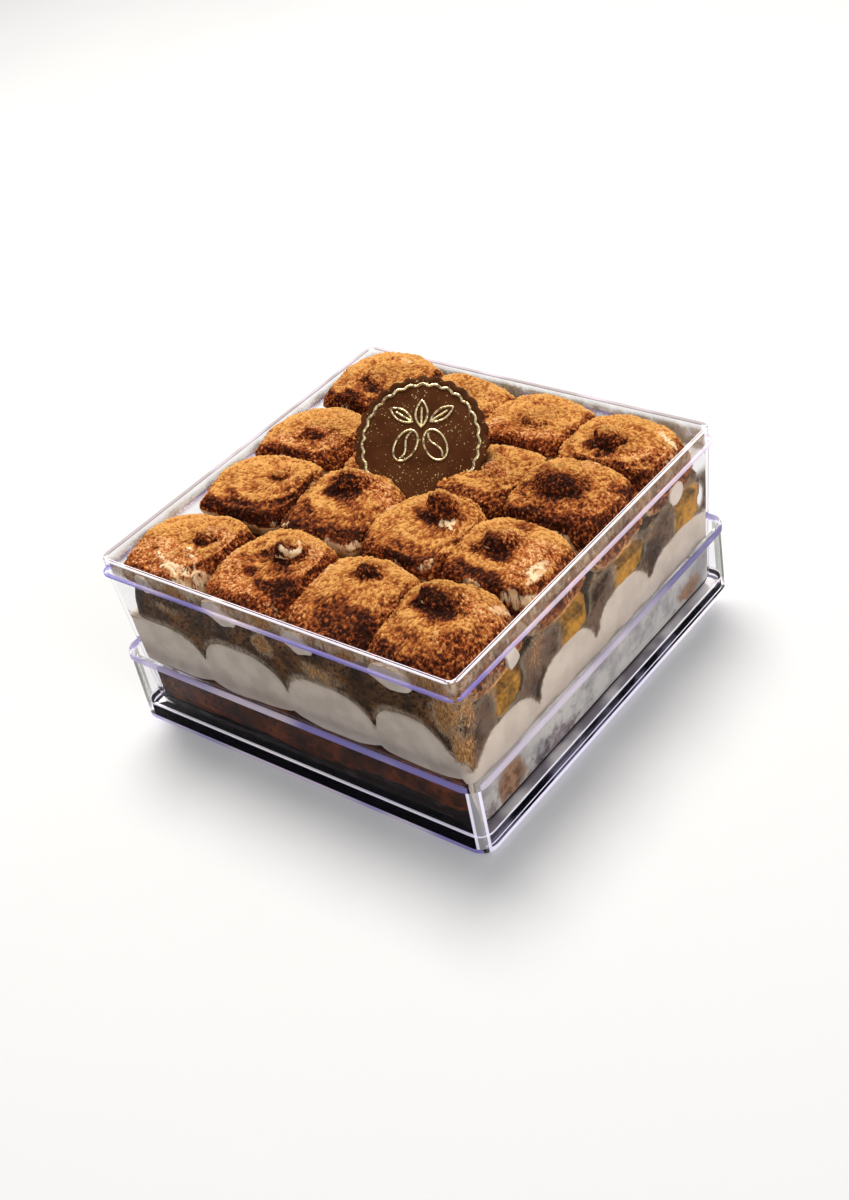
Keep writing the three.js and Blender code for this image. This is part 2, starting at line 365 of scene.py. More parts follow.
# Painted reflection and painted shade: a lilac that darkens to deep violet, for the bead on the
# right side.
shaded_lilac_reflection = clear_plastic("painted_shaded_lilac_reflection", (0.2, 0.18, 0.4), (0.8, 0.72, 0.88), 0.6, 0.05)
# Painted reflection: a milky grey band under the plate that carries on the veil painted low on the
# side wall.
painted_veil_foot = clear_plastic("painted_veil_foot", (0.85, 0.82, 0.8), (0.3, 0.27, 0.3), 0.9, drift=2.5)
# Painted shade: a dark grey clear plastic for the left and right corners of the lid.
corner_shade = clear_plastic("painted_corner_shade", (0.22, 0.23, 0.2), (0.36, 0.37, 0.33), 0.0)
lid = made(
    "lid_moulding", moulding(lid_profile, lid_corner),
    [clear, lilac_reflection, white_highlight, shaded_foot, corner_sheen, painted_veil_foot, corner_shade, painted_streaked_foot_shade,
     shaded_lilac_reflection],
    ["lid"],
)


def front_side(x, y):
    return y < -abs(x)


def other_sides(x, y):
    return not front_side(x, y)


def right_side(x, y):
    return x > abs(y)


def edge_faces(piece, material, heights, halves, chosen=None):
    """Gives one of a piece's materials to the faces between two heights and between two half
    widths, on all four sides or on the chosen ones."""
    index = piece.data.materials.find(material.name)
    for face in piece.data.polygons:
        x, y, z = face.center / MM
        half = max(abs(x), abs(y))
        inside = heights[0] <= z <= heights[1] and halves[0] <= half <= halves[1]
        if inside and (chosen is None or chosen(x, y)):
            face.material_index = index


def corner_strip(piece, material, heights, steps, quarters=range(4)):
    """Gives one of a piece's materials to narrow upright faces outside its corners."""
    index = piece.data.materials.find(material.name)
    for face in piece.data.polygons:
        x, y, z = face.center / MM
        quarter, step = divmod(face.index % (4 * (CORNER_STEPS + 1)), CORNER_STEPS + 1)
        outside = face.normal.x * x + face.normal.y * y > 0.5 * math.hypot(x, y)
        if outside and quarter in quarters and step in steps and heights[0] <= z <= heights[1]:
            face.material_index = index


foot = (0.0, FOOT_HEIGHT)
foot_inside = (0.0, foot_wall + 0.05)
# Painted shade: near black under the plate and round the foot ring, streaked on the sides away from
# the front.
edge_faces(lid, shaded_foot, foot, foot_inside)
edge_faces(lid, painted_streaked_foot_shade, foot, foot_inside, other_sides)
# Painted highlight: a white line along the inside of the foot, away from the front.
foot_line = (FOOT_LINE[0] + 0.02, FOOT_LINE[1] - 0.02)
edge_faces(lid, white_highlight, foot_line, foot_inside, other_sides)
# Painted reflection: a milky band under the plate, away from the front.
foot_ceiling, underside = (FOOT_HEIGHT - 0.1, FOOT_HEIGHT), LID_HALF - UNDERSIDE_RINGS[1] + 0.1
edge_faces(lid, painted_veil_foot, foot_ceiling, (1.0, underside), other_sides)
# Painted reflection round the lowest edge: lilac at the front, a white highlight elsewhere.
lowest, foot_outside = (-1.0, FOOT_EDGE + 0.05), (foot_wall + 0.3, LID_HALF + 1)
edge_faces(lid, lilac_reflection, lowest, foot_outside, front_side)
edge_faces(lid, white_highlight, lowest, foot_outside, other_sides)
# Inside the lid along the fillet: painted highlight lines round a band of painted shade.
fillet = (lid_inner - LID_FILLET, lid_inner + 0.05)
edge_faces(lid, white_highlight, (lid_floor + 0.01, lid_floor + 0.16), fillet, front_side)
edge_faces(lid, shaded_foot, (lid_floor + 0.16, lid_floor + 0.9), fillet)
edge_faces(lid, white_highlight, (lid_floor + 0.9, lid_floor + 1.7), fillet)
# The bead: a painted lilac reflection, darker on the right side.
bead, bead_outside = (lid_bead_low, LID_TOP + 1), (LID_HALF - 0.2, LID_HALF + 1)
edge_faces(lid, lilac_reflection, bead, bead_outside)
edge_faces(lid, shaded_lilac_reflection, bead, bead_outside, right_side)
# The corners: painted white highlight lines round a pale painted sheen on the near and far corners,
# and painted shade on the left and right corners.
corner_strip(lid, white_highlight, LID_GLINT, (2, 6))
corner_strip(lid, corner_sheen, LID_GLINT, (3, 4, 5), NEAR_AND_FAR)
corner_strip(lid, corner_shade, LID_GLINT, (0, 1, 3, 4, 5, 7, 8, 9), LEFT_AND_RIGHT)


# ---- Box -----------------------------------------------------------------------------------
# The box is the same clear polystyrene, in one moulding that widens towards its rim. A thin
# bead below its neck is what the lid comes down on when it is shut.
BOX_BASE = 4.0
BOX_TOP = 55.5
BOX_HALF = 60.0
BOX_BASE_HALF = 57.9
BOX_CORNER = 3.2
BOX_BASE_CORNER = 4.5
BOX_BEAD_LOW = 50.0
BOX_BEAD_HIGH = 51.2
BOX_BEAD_OUT = 0.8
BOX_GLINT = (20.0, 35.0)
FLOOR = BOX_BASE + WALL


def outside_half(z):
    """Half the width of the box's outside at height z."""
    share = np.clip((z - BOX_BASE) / (BOX_BEAD_LOW - BOX_BASE), 0, 1)
    return BOX_BASE_HALF + (BOX_HALF - BOX_BASE_HALF) * share


def box_corner(half, height):
    share = np.clip((height - BOX_BASE) / (BOX_BEAD_LOW - BOX_BASE), 0, 1)
    corner = BOX_BASE_CORNER + (BOX_CORNER - BOX_BASE_CORNER) * share
    return max(corner + min(half - outside_half(height), 0), TIGHTEST_CORNER)


box_profile = eased([
    (0.0, BOX_BASE),
    (BOX_BASE_HALF, BOX_BASE, 1.8),
    (BOX_HALF, BOX_BEAD_LOW, 0.1),
    (BOX_HALF + BOX_BEAD_OUT, BOX_BEAD_LOW + 0.2, 0.2),
    (BOX_HALF + BOX_BEAD_OUT, BOX_BEAD_HIGH - 0.2, 0.2),
    (BOX_HALF, BOX_BEAD_HIGH, 0.1),
    (BOX_HALF, BOX_TOP, 0.4),
    (BOX_HALF - WALL, BOX_TOP, 0.4),
    (BOX_HALF - WALL, BOX_BEAD_LOW, 0.1),
    (outside_half(FLOOR) - WALL, FLOOR, 2.2),
    (0.0, FLOOR),
])
# Painted shade: a dim grey-mauve rim colour for the far sides.
painted_far_rim_shade = clear_plastic("painted_far_rim_shade", (0.42, 0.37, 0.39), (0.6, 0.54, 0.62), 0.8, drift=2.0)
box = made(
    "box_moulding", moulding(box_profile, box_corner), [clear, lilac_reflection, white_highlight, painted_far_rim_shade],
    ["box"],
)


def far_sides(x, y):
    return y > x


box_inner = BOX_HALF - WALL - 0.1
bead, rim = (BOX_BEAD_LOW - 0.1, BOX_BEAD_HIGH + 0.1), (BOX_TOP - 0.5, BOX_TOP + 1)
# Painted reflection on the bead, painted white highlights on the rim with painted shade on the far
# rim, and painted highlight lines on the left and right corners.
edge_faces(box, lilac_reflection, bead, (BOX_HALF + 0.1, BOX_HALF + 1))
edge_faces(box, white_highlight, rim, (BOX_HALF - 0.4, BOX_HALF + 1))
edge_faces(box, white_highlight, rim, (box_inner, box_inner + 0.5))
edge_faces(box, painted_far_rim_shade, rim, (box_inner, BOX_HALF + 1), far_sides)
corner_strip(box, white_highlight, BOX_GLINT, (3,), LEFT_AND_RIGHT)
corner_strip(box, lilac_reflection, BOX_GLINT, (7,), LEFT_AND_RIGHT)


# ---- Lower ladyfingers ---------------------------------------------------------------------
# Four sponge fingers lie side by side on the floor of the box, soaked dark with coffee. They
# are soft, so they press flat against each other and against the clear walls.
PITCH = 28.4
COUNT = 4
FINGER_THICK = 15.0
FINGER_SPREAD = 2.6
FINGER_RINGS = 72
FINGER_AROUND = 56
BAKED_LOWER = (0, 1, 3)
SYRUP_TOP = 8.7
SYRUP_RAGGED = 1.9
SYRUP_AROUND = 240
CREAM_NOTCH = 29.0
CREAM_PEAK = 37.0
UPPER_TOP = 47.8
DROOP_FROM = 44.0
DROOP_DEPTH = 5.5


def smoothstep(value, start, end):
    t = np.clip((value - start) / (end - start), 0, 1)
    return t * t * (3 - 2 * t)


def droop(x):
    """How far the layers sag where the ladyfingers end at the side wall."""
    return DROOP_DEPTH * smoothstep(x, DROOP_FROM, BOX_HALF - WALL)


def inside_half(z):
    return outside_half(z) - WALL


def wobble(points, size, seed):
    """Smooth noise from -1 to 1 at each point, with lumps about size millimetres across."""
    spot = np.asarray(points, float) / size + seed * 7.31
    cell = np.floor(spot)
    t = spot - cell
    t = t * t * (3 - 2 * t)
    total = np.zeros(len(spot))
    for corner in np.ndindex(2, 2, 2):
        mixed = (cell + corner) @ (12.9898, 78.233, 37.719)
        value = 2 * np.modf(np.abs(np.sin(mixed) * 43758.5453))[0] - 1
        weight = np.prod(np.where(np.array(corner) == 1, t, 1 - t), axis=1)
        total += value * weight
    return total


def held_in(points, reach):
    """Moves points back to the clear walls. reach is how far into the wall they may go."""
    moved = np.array(points, float)
    half = inside_half(moved[:, 2]) + reach
    corner = np.minimum(BOX_BASE_CORNER - WALL + reach, half)
    flat = np.minimum(np.abs(moved[:, :2]), half[:, None])
    over = np.maximum(flat - (half - corner)[:, None], 0)
    length = np.maximum(np.linalg.norm(over, axis=1), 1e-6)
    over *= np.minimum(1, corner / length)[:, None]
    base = np.minimum(flat, (half - corner)[:, None])
    moved[:, :2] = np.sign(moved[:, :2]) * (base + over)
    return moved


def capped_tube(rows, columns):
    """Faces of a tube of rings, with one point at each end."""
    faces = ring_faces(rows, columns, first=1)
    last = 1 + (rows - 1) * columns
    for i in range(columns):
        j = (i + 1) % columns
        faces.append((0, 1 + j, 1 + i))
        faces.append((last + columns, last + i, last + j))
    return faces


def powered(value, exponent):
    return np.sign(value) * np.abs(value) ** exponent


def finger_shape(middle_y, bottom, top, seed):
    """Points of one soft sponge bar along X, longer than the box so that its ends press flat."""
    along = np.sin(np.linspace(-math.pi / 2, math.pi / 2, FINGER_RINGS + 2))
    angle = np.linspace(0, 2 * math.pi, FINGER_AROUND, endpoint=False)
    half_length = inside_half(top) + 0.6
    points = []
    for index, share in enumerate(along):
        girth = max(1 - abs(share) ** 14, 0) ** 0.4
        ring_x = np.full(FINGER_AROUND, share * half_length)
        ring_y = middle_y + (PITCH / 2 + FINGER_SPREAD) * girth * powered(np.cos(angle), 0.45)
        ring_z = (bottom + top) / 2 + (top - bottom) / 2 * girth * powered(np.sin(angle), 0.45)
        ring = np.stack([ring_x, ring_y, ring_z], axis=1)
        points.append(ring if 0 < index < FINGER_RINGS + 1 else ring[:1])
    points = np.concatenate(points)
    for size, depth in ((16.0, 1.1), (5.0, 0.5), (2.0, 0.22)):
        for axis in range(3):
            points[:, axis] += depth * wobble(points, size, seed + axis)
    return points


def mask(tree, name):
    return add_node(tree, "ShaderNodeAttribute", attribute_name=name).outputs["Fac"]


def crumb_effect():
    """Open sponge crumb: pores, soaked blotches, a baked golden end where "baked" is 1, and a
    nearly black band of painted shade where its shade mask is 1."""
    tree, given, result = new_effect(
        "sponge_crumb",
        {"Dark": "Color", "Light": "Color", "Golden": "Color", "Smoothest": "Float"},
        {"Tone": "Color", "Roughness": "Float", "Normal": "Vector"},
    )
    where = object_place(tree)
    black = (0.0, 0.0, 0.0)
    blotch = grain(tree, where, 7.0, detail=4.0, roughness=0.65)
    crumb = grain(tree, where, 0.9, detail=4.0, roughness=0.65, curl=0.6)
    pores = add_node(
        tree, "ShaderNodeTexVoronoi", {"Vector": where, "Scale": 1 / (1.3 * MM)},
    ).outputs["Distance"]
    pits = fade(tree, pores, 0.1, 0.5)
    mixed = plus(tree, times(tree, blotch, 0.7), times(tree, crumb, 0.3))
    tone = blended(tree, fade(tree, mixed, 0.36, 0.68), given["Dark"], given["Light"])
    uneven = minus(tree, plus(tree, crumb, blotch), 1.0)
    crust = plus(tree, mask(tree, "baked"), times(tree, uneven, 0.8))
    crust = fade(tree, crust, 0.3, 0.75)
    browned = blended(tree, 0.22, black, given["Golden"])
    crusty = blended(tree, fade(tree, mixed, 0.38, 0.6), browned, given["Golden"])
    tone = blended(tree, crust, tone, crusty)
    shade_over_cream = plus(tree, mask(tree, "shade_over_cream"), times(tree, uneven, 1.2))
    deep = blended(tree, 0.5, black, given["Dark"])
    tone = blended(tree, fade(tree, shade_over_cream, 0.45, 0.85), tone, deep)
    open_pores = calc(tree, "MAXIMUM", pits, times(tree, crust, 0.75))
    set_sockets(tree, result, {
        "Tone": blended(tree, open_pores, deep, tone),
        "Roughness": fade(tree, blotch, 0.3, 0.7, given["Smoothest"], 0.9),
        "Normal": bumped(tree, plus(tree, times(tree, pits, 0.6), crumb), 0.35),
    })
    return tree


crumbly = crumb_effect()


def sponge(name, dark, light, golden, smoothest):
    material, tree, shader = new_finish(name)
    look = add_node(
        tree, "ShaderNodeGroup",
        {"Dark": (*dark, 1.0), "Light": (*light, 1.0), "Golden": (*golden, 1.0),
         "Smoothest": smoothest},
        node_tree=crumbly,
    ).outputs
    set_sockets(tree, shader, {
        "Base Color": look["Tone"], "Roughness": look["Roughness"], "Normal": look["Normal"],
        "Specular IOR Level": 0.05,
    })
    return material


soaked = sponge(
    "soaked_sponge", (0.03, 0.009, 0.0045), (0.22, 0.054, 0.019), (0.4, 0.17, 0.06), 0.5,
)


def set_mask(piece, name, values):
    layer = piece.data.attributes.new(name, "FLOAT", "POINT")
    layer.data.foreach_set("value", np.asarray(values, np.float32))


finger_faces = capped_tube(FINGER_RINGS, FINGER_AROUND)
for row in range(COUNT):
    middle = (row - (COUNT - 1) / 2) * PITCH
    shape = held_in(finger_shape(middle, FLOOR + 0.6, FLOOR + FINGER_THICK + 1.5, 10 + row), 0.2)
    shape[:, 2] = np.maximum(shape[:, 2], FLOOR - 0.1)
    finger = made(
        f"soaked_finger_{row + 1}", (shape, finger_faces), [soaked],
        [f"ladyfinger_lower_{row + 1}"],
    )
    ends = smoothstep(shape[:, 0], 50, 58) * smoothstep(-np.abs(shape[:, 1] - middle), -12, -7)
    set_mask(finger, "baked", 0.8 * ends * (row in BAKED_LOWER))


def syrup_pool():
    """A thin pool that fills the bottom of the box and laps unevenly up its walls."""
    under = FLOOR - 0.25
    angle = np.linspace(0, 2 * math.pi, SYRUP_AROUND, endpoint=False)
    square = 1 / np.maximum(np.abs(np.cos(angle)), np.abs(np.sin(angle)))
    way = np.stack([np.cos(angle) * square, np.sin(angle) * square], axis=1)
    rings = [(58.5, under), (59.5, FLOOR + 1.0), (60.0, SYRUP_TOP), (56.0, SYRUP_TOP - 0.6)]
    points = [np.array([[0.0, 0.0, under]])]
    for half, height in rings:
        points.append(np.column_stack([way * half, np.full(len(way), height)]))
    points.append(np.array([[0.0, 0.0, SYRUP_TOP - 0.6]]))
    shape = np.concatenate(points)
    uneven = SYRUP_RAGGED * wobble(shape, 9.0, 30) + 1.3 * wobble(shape, 2.6, 31)
    shallow = 3.0 * (1 - smoothstep(shape[:, 0], -50, 15)) + 3.4 * smoothstep(shape[:, 0], 56, 59)
    shape[:, 2] += (shape[:, 2] > FLOOR + 2) * (uneven - shallow)
    shape[:, 2] = np.maximum(shape[:, 2], under)
    return held_in(shape, 0.3), capped_tube(len(rings), SYRUP_AROUND)


def syrup_and_shade_finish():
    """Thin coffee syrup, nearly black, with a few foam specks. Its near black is partly painted
    shade under the food.
    """
    material, tree, shader = new_finish("syrup_and_painted_shade")
    where = object_place(tree)
    cloud = grain(tree, where, 5.0, detail=3.0)
    foam = fade(tree, grain(tree, where, 0.8, detail=2.0), 0.68, 0.74)
    deep = blended(tree, cloud, (0.011, 0.006, 0.006), (0.03, 0.014, 0.012))
    set_sockets(tree, shader, {
        "Base Color": blended(tree, foam, deep, (0.12, 0.08, 0.06)),
        "Roughness": fade(tree, cloud, 0.3, 0.7, 0.12, 0.3),
        "Normal": bumped(tree, cloud, 0.05),
        "Specular IOR Level": 0.1,
    })
    return material


# A pool of syrup that is partly painted shade: a near black sheet along the bottom of the box.
made("syrup_and_painted_shade", syrup_pool(), [syrup_and_shade_finish()])


# ---- Middle layer of cream -----------------------------------------------------------------
# Dollops of whipped mascarpone cream, piped four by four on the sponge, have run together.
# Each makes a smooth lobe where it presses against a wall.
CREAM_STEPS = 150
RUN_DOWN = 12.0


def table(names, *rows):
    """Rows of values, each under its name."""
    return [dict(zip(names.split(), row)) for row in rows]


FRONT_LOBES = table(
    "start peak end top",
    (-62.0, -45.0, -29.3, 36.8),
    (-29.3, -15.5, 0.4, 38.3),
    (0.4, 14.0, 29.2, 37.0),
    (29.6, 42.5, 57.0, 37.6),
)
SIDE_LOBES = table(
    "start peak end top",
    (-60.0, -41.0, -28.0, 37.0),
    (-28.0, -12.5, -0.5, 39.2),
    (-0.5, 13.0, 26.5, 39.6),
    (25.5, 42.0, 62.0, 37.0),
)
SOAKED_ENDS = table(
    "y wide high",
    (-42.5, 11.5, 16.0),
    (-14.0, 12.0, 16.5),
    (15.5, 10.5, 15.0),
    (44.0, 12.0, 13.0),
)


def lobe_share(place, lobes):
    """From 1 on the top of the lobe at each place to 0 in the notch between two lobes."""
    share, top = np.zeros(len(place)), np.full(len(place), CREAM_PEAK)
    for lobe in lobes:
        here = (place >= lobe["start"]) & (place <= lobe["end"])
        left = np.clip((lobe["peak"] - place) / (lobe["peak"] - lobe["start"]), 0, 1)
        right = np.clip((place - lobe["peak"]) / (lobe["end"] - lobe["peak"]), 0, 1)
        rise = (1 - left ** 3.4) ** (1 / 2.2) * (1 - right ** 2.6) ** (1 / 1.7)
        share = np.where(here, rise, share)
        top = np.where(here, lobe["top"], top)
    return share, top


def cream_surface(x, y):
    """Heights of the top and the underside of the middle cream at each place."""
    along_x, top_x = lobe_share(x, FRONT_LOBES)
    along_y, top_y = lobe_share(y, SIDE_LOBES)
    last_x, last_y = FRONT_LOBES[-1]["peak"], SIDE_LOBES[0]["peak"]
    by_front = smoothstep(-y, -last_y - 2, -last_y + 8)
    by_side = smoothstep(x, last_x - 2, last_x + 8)
    share = (along_x + (1 - along_x) * by_side) * (along_y + (1 - along_y) * by_front)
    corner = np.hypot(x - 60.5, y + 60.5)
    share = share * smoothstep(corner, 3.0, 15.0) ** 0.5
    peak = top_x + (top_y - top_x) * by_side
    top = CREAM_NOTCH - 1.5 + (peak - CREAM_NOTCH + 1.5) * share - droop(x)
    under = FLOOR + FINGER_THICK + 0.2 + 2.5 * (1 - share)
    between = np.ones(len(y))
    for end in SOAKED_ENDS:
        off = np.clip(np.abs(y - end["y"]) / end["wide"], 0, 1)
        rise = (end["high"] - SYRUP_TOP) / RUN_DOWN * np.sqrt(1 - off ** 2)
        between = np.minimum(between, 1 - rise)
    run_down = by_side * smoothstep(x, 55.0, 57.5) * between
    return top, under - RUN_DOWN * run_down


def cream_block():
    """A closed sheet over the whole box, with its rim pressed into the walls."""
    steps = np.linspace(-1, 1, CREAM_STEPS + 1)
    spread = np.sin(steps * math.pi / 2) * 0.35 + steps * 0.65
    gx, gy = np.meshgrid(spread * 60.0, spread * 60.0, indexing="ij")
    x, y = gx.ravel(), gy.ravel()
    top, under = cream_surface(x, y)
    flat = np.stack([x, y, top], axis=1)
    top = top + 0.35 * wobble(flat, 7.0, 3) + 0.1 * wobble(flat, 2.2, 4)
    under = under + 0.6 * wobble(flat, 8.0, 5)
    upper = held_in(np.stack([x, y, top], axis=1), 0.25)
    lower = held_in(np.stack([x, y, np.minimum(under, top - 0.5)], axis=1), 0.25)
    side = CREAM_STEPS + 1
    faces = []
    offset = side * side
    for i in range(CREAM_STEPS):
        for j in range(CREAM_STEPS):
            a, b = i * side + j, (i + 1) * side + j
            faces.append((a, b, b + 1, a + 1))
            faces.append((offset + a + 1, offset + b + 1, offset + b, offset + a))
    border = list(range(0, offset, side))
    border += [CREAM_STEPS * side + j for j in range(1, side)]
    border += [i * side + CREAM_STEPS for i in range(CREAM_STEPS - 1, -1, -1)]
    border += list(range(CREAM_STEPS - 1, 0, -1))
    for a, b in zip(border, border[1:] + border[:1]):
        faces.append((a, offset + a, offset + b, b))
    return np.concatenate([upper, lower]), faces


def cream_finish(name, colour, shade):
    """Whipped cream: smooth, faintly marbled, with a soft sheen and fine drag marks."""
    material, tree, shader = new_finish(name)
    where = object_place(tree)
    marble = grain(tree, where, 6.0, detail=3.0)
    fine = grain(tree, where, 0.7, detail=3.0)
    drag = grain(tree, stretched(tree, where, (1.0, 1.0, 3.0)), 3.0, detail=2.0, curl=0.8)
    tone = blended(tree, fade(tree, marble, 0.35, 0.65), shade, colour)
    height = plus(tree, drag, times(tree, fine, 0.3))
    set_sockets(tree, shader, {
        "Base Color": tone,
        "Roughness": fade(tree, fine, 0.3, 0.7, 0.42, 0.6),
        "Normal": bumped(tree, height, 0.12),
        "Specular IOR Level": 0.1,
    })
    return material


mascarpone = cream_finish("mascarpone_cream", (0.64, 0.555, 0.475), (0.535, 0.455, 0.38))
made("middle_cream", cream_block(), [mascarpone], ["cream_middle"])


# ---- Upper ladyfingers ---------------------------------------------------------------------
# The second layer of sponge has sunk onto the cream and fills the notches between its lobes.
# It is less soaked, and the baked golden ends of the fingers show through the side wall.
FINGER_ENDS = table(
    "at half",
    ((-41.0, 38.3), (8.0, 6.2)),
    ((-11.5, 39.5), (9.0, 7.5)),
    ((14.5, 38.5), (9.5, 5.8)),
    ((44.5, 36.5), (9.5, 6.5)),
)
END_DEPTH = 3.5


def off_middle(along, z, spot):
    """How far each place on a wall is from the middle of a spot: 1 is on the spot's edge."""
    off_along = (along - spot["at"][0]) / spot["half"][0]
    return np.hypot(off_along, (z - spot["at"][1]) / spot["half"][1])


def end_gap(points, end):
    """How far a finger's round end stands off the side wall: under 0 where it is pressed flat."""
    return END_DEPTH * (off_middle(points[:, 1], points[:, 2], end) ** 2 - 1)


stained = sponge(
    "stained_sponge", (0.028, 0.013, 0.006), (0.21, 0.095, 0.036), (0.58, 0.27, 0.035), 0.7,
)
for row in range(COUNT):
    middle = (row - (COUNT - 1) / 2) * PITCH
    shape = finger_shape(middle, CREAM_NOTCH - 8, UPPER_TOP + 0.5, 20 + row)
    end = FINGER_ENDS[row]
    gap = np.clip(end_gap(shape, end), -0.4, END_DEPTH)
    wall_x = inside_half(shape[:, 2])
    shape[:, 0] = np.minimum(shape[:, 0], wall_x + 0.2 - np.maximum(gap, 0))
    shape[:, 2] -= droop(shape[:, 0]) * smoothstep(shape[:, 2], 38, 46)
    shape = held_in(shape, 0.2)
    finger = made(
        f"golden_finger_{row + 1}", (shape, finger_faces), [stained],
        [f"ladyfinger_upper_{row + 1}"],
    )
    golden = smoothstep(shape[:, 0], 50, 57) * smoothstep(-end_gap(shape, end), -3.0, 0.5)
    golden *= smoothstep((shape[:, 1] - end["at"][0]) / end["half"][0], -0.95, -0.35)
    set_mask(finger, "baked", golden)
    over_cream = shape[:, 2] - cream_surface(shape[:, 0], shape[:, 1])[0]
    # Painted shade: the finger turns nearly black just above the cream, where the two meet.
    set_mask(finger, "shade_over_cream", (1 - smoothstep(over_cream, 0.3, 3.2)) * (1 - golden))


# ---- Piped dollops under cocoa -------------------------------------------------------------
# Sixteen dollops of whipped cream are piped on top, each ending in a nub where the nozzle was
# pulled away. Cocoa is sieved over them, thick on top and thin on the steep and wiped places.
# Its colour holds painted light and shade: lighter on faces turned up and back, darker on faces
# turned away, in creases and pits, and on the shaded sides of the nubs.
DOLLOP_BOTTOM = 46.4
MOUND_REACH = 20.5
MOUND_AROUND = 88
MOUND_RINGS = 30
BODY_SHARE = 0.6
ROW_MERGE = 1.6
COLUMN_MERGE = -0.7
PULLED_TOWARD = np.array([-0.62, -0.78])
NUB_LEAN = 0.35
FREE_STRIP = 5.0
FREE_STRIP_FROM = -28.0
# The way towards the painted light that colours the cocoa: faces turned to it are painted tan,
# faces turned from it rust and dark.
PAINTED_LIGHT_FROM = (-0.15, 0.48, 0.86)
PICTURE_WIDTH = 849
PICTURE_HEIGHT = 1200
CAMERA_SENSOR = 36.0
CAMERA_LENS = 51.84
CAMERA_PLACE = Vector((272.643, -281.502, 310.12))
CAMERA_DEGREES = (52.716, 9.545, 37.048)
camera_turn = Euler([math.radians(angle) for angle in CAMERA_DEGREES])
DOLLOPS = table(
    "at round top tip nub ridge hollow",
    ((-43, -43), 0.95, 57.4, (-35.5, -42.0, 59.6), 3.6, 0.25, 0.8),
    ((-13, -42), 0.95, 58.0, (-8.2, -38.6, 62.4), 4.4, 0.2, 1.0),
    ((15, -42), 1, 58.2, (15.5, -36.0, 61.2), 3.4, 0.0, 0.5),
    ((43, -42), 1.15, 58.0, (40.0, -37.5, 63.2), 5.6, 0.2, 1.4),
    ((-42, -13), 0.62, 58.0, (-35.5, -11.5, 59.6), 2.2, 0.35, 0.5),
    ((-13, -12), 0.9, 58.2, (-13.0, -7.0, 63.4), 5.4, 0.2, 1.8),
    ((16, -13), 0.7, 58.8, (18.8, -8.4, 65.2), 4.4, 0.3, 1.2),
    ((43, -13), 0.8, 58.4, (40.5, -13.0, 63.0), 5.2, 0.2, 1.2),
    ((-43, 13), 0.9, 58.2, (-40.0, 10.5, 60.6), 4.8, 0.2, 1.2),
    ((-14, 16), 0.85, 57.4, (-13.0, 17.0, 58.6), 4.0, 0.0, 0.0),
    ((16, 16), 0.9, 58.0, (20.0, 14.5, 59.2), 5.0, 0.2, 0.4),
    ((43, 15), 1.2, 59.6, (39.5, 15.0, 64.4), 8.0, 0.2, 1.5),
    ((-43, 44), 0.85, 59.0, (-40.0, 41.0, 60.4), 5.6, 0.3, 0.9),
    ((-14, 43), 0.85, 58.0, (-14.0, 43.0, 59.4), 4.6, 0.0, 0.0),
    ((14, 42), 0.9, 58.6, (16.0, 40.0, 60.0), 5.6, 0.0, 0.5),
    ((42, 41), 0.85, 58.8, (41.0, 37.5, 63.0), 4.6, 0.3, 1.8),
)
DENTS = table(
    "at reach depth",
    ((-15.5, -42.0), 3.4, 1.6),
    ((-14.5, -48.0), 3.2, 1.6),
    ((-20.0, -38.0), 2.8, 1.2),
)
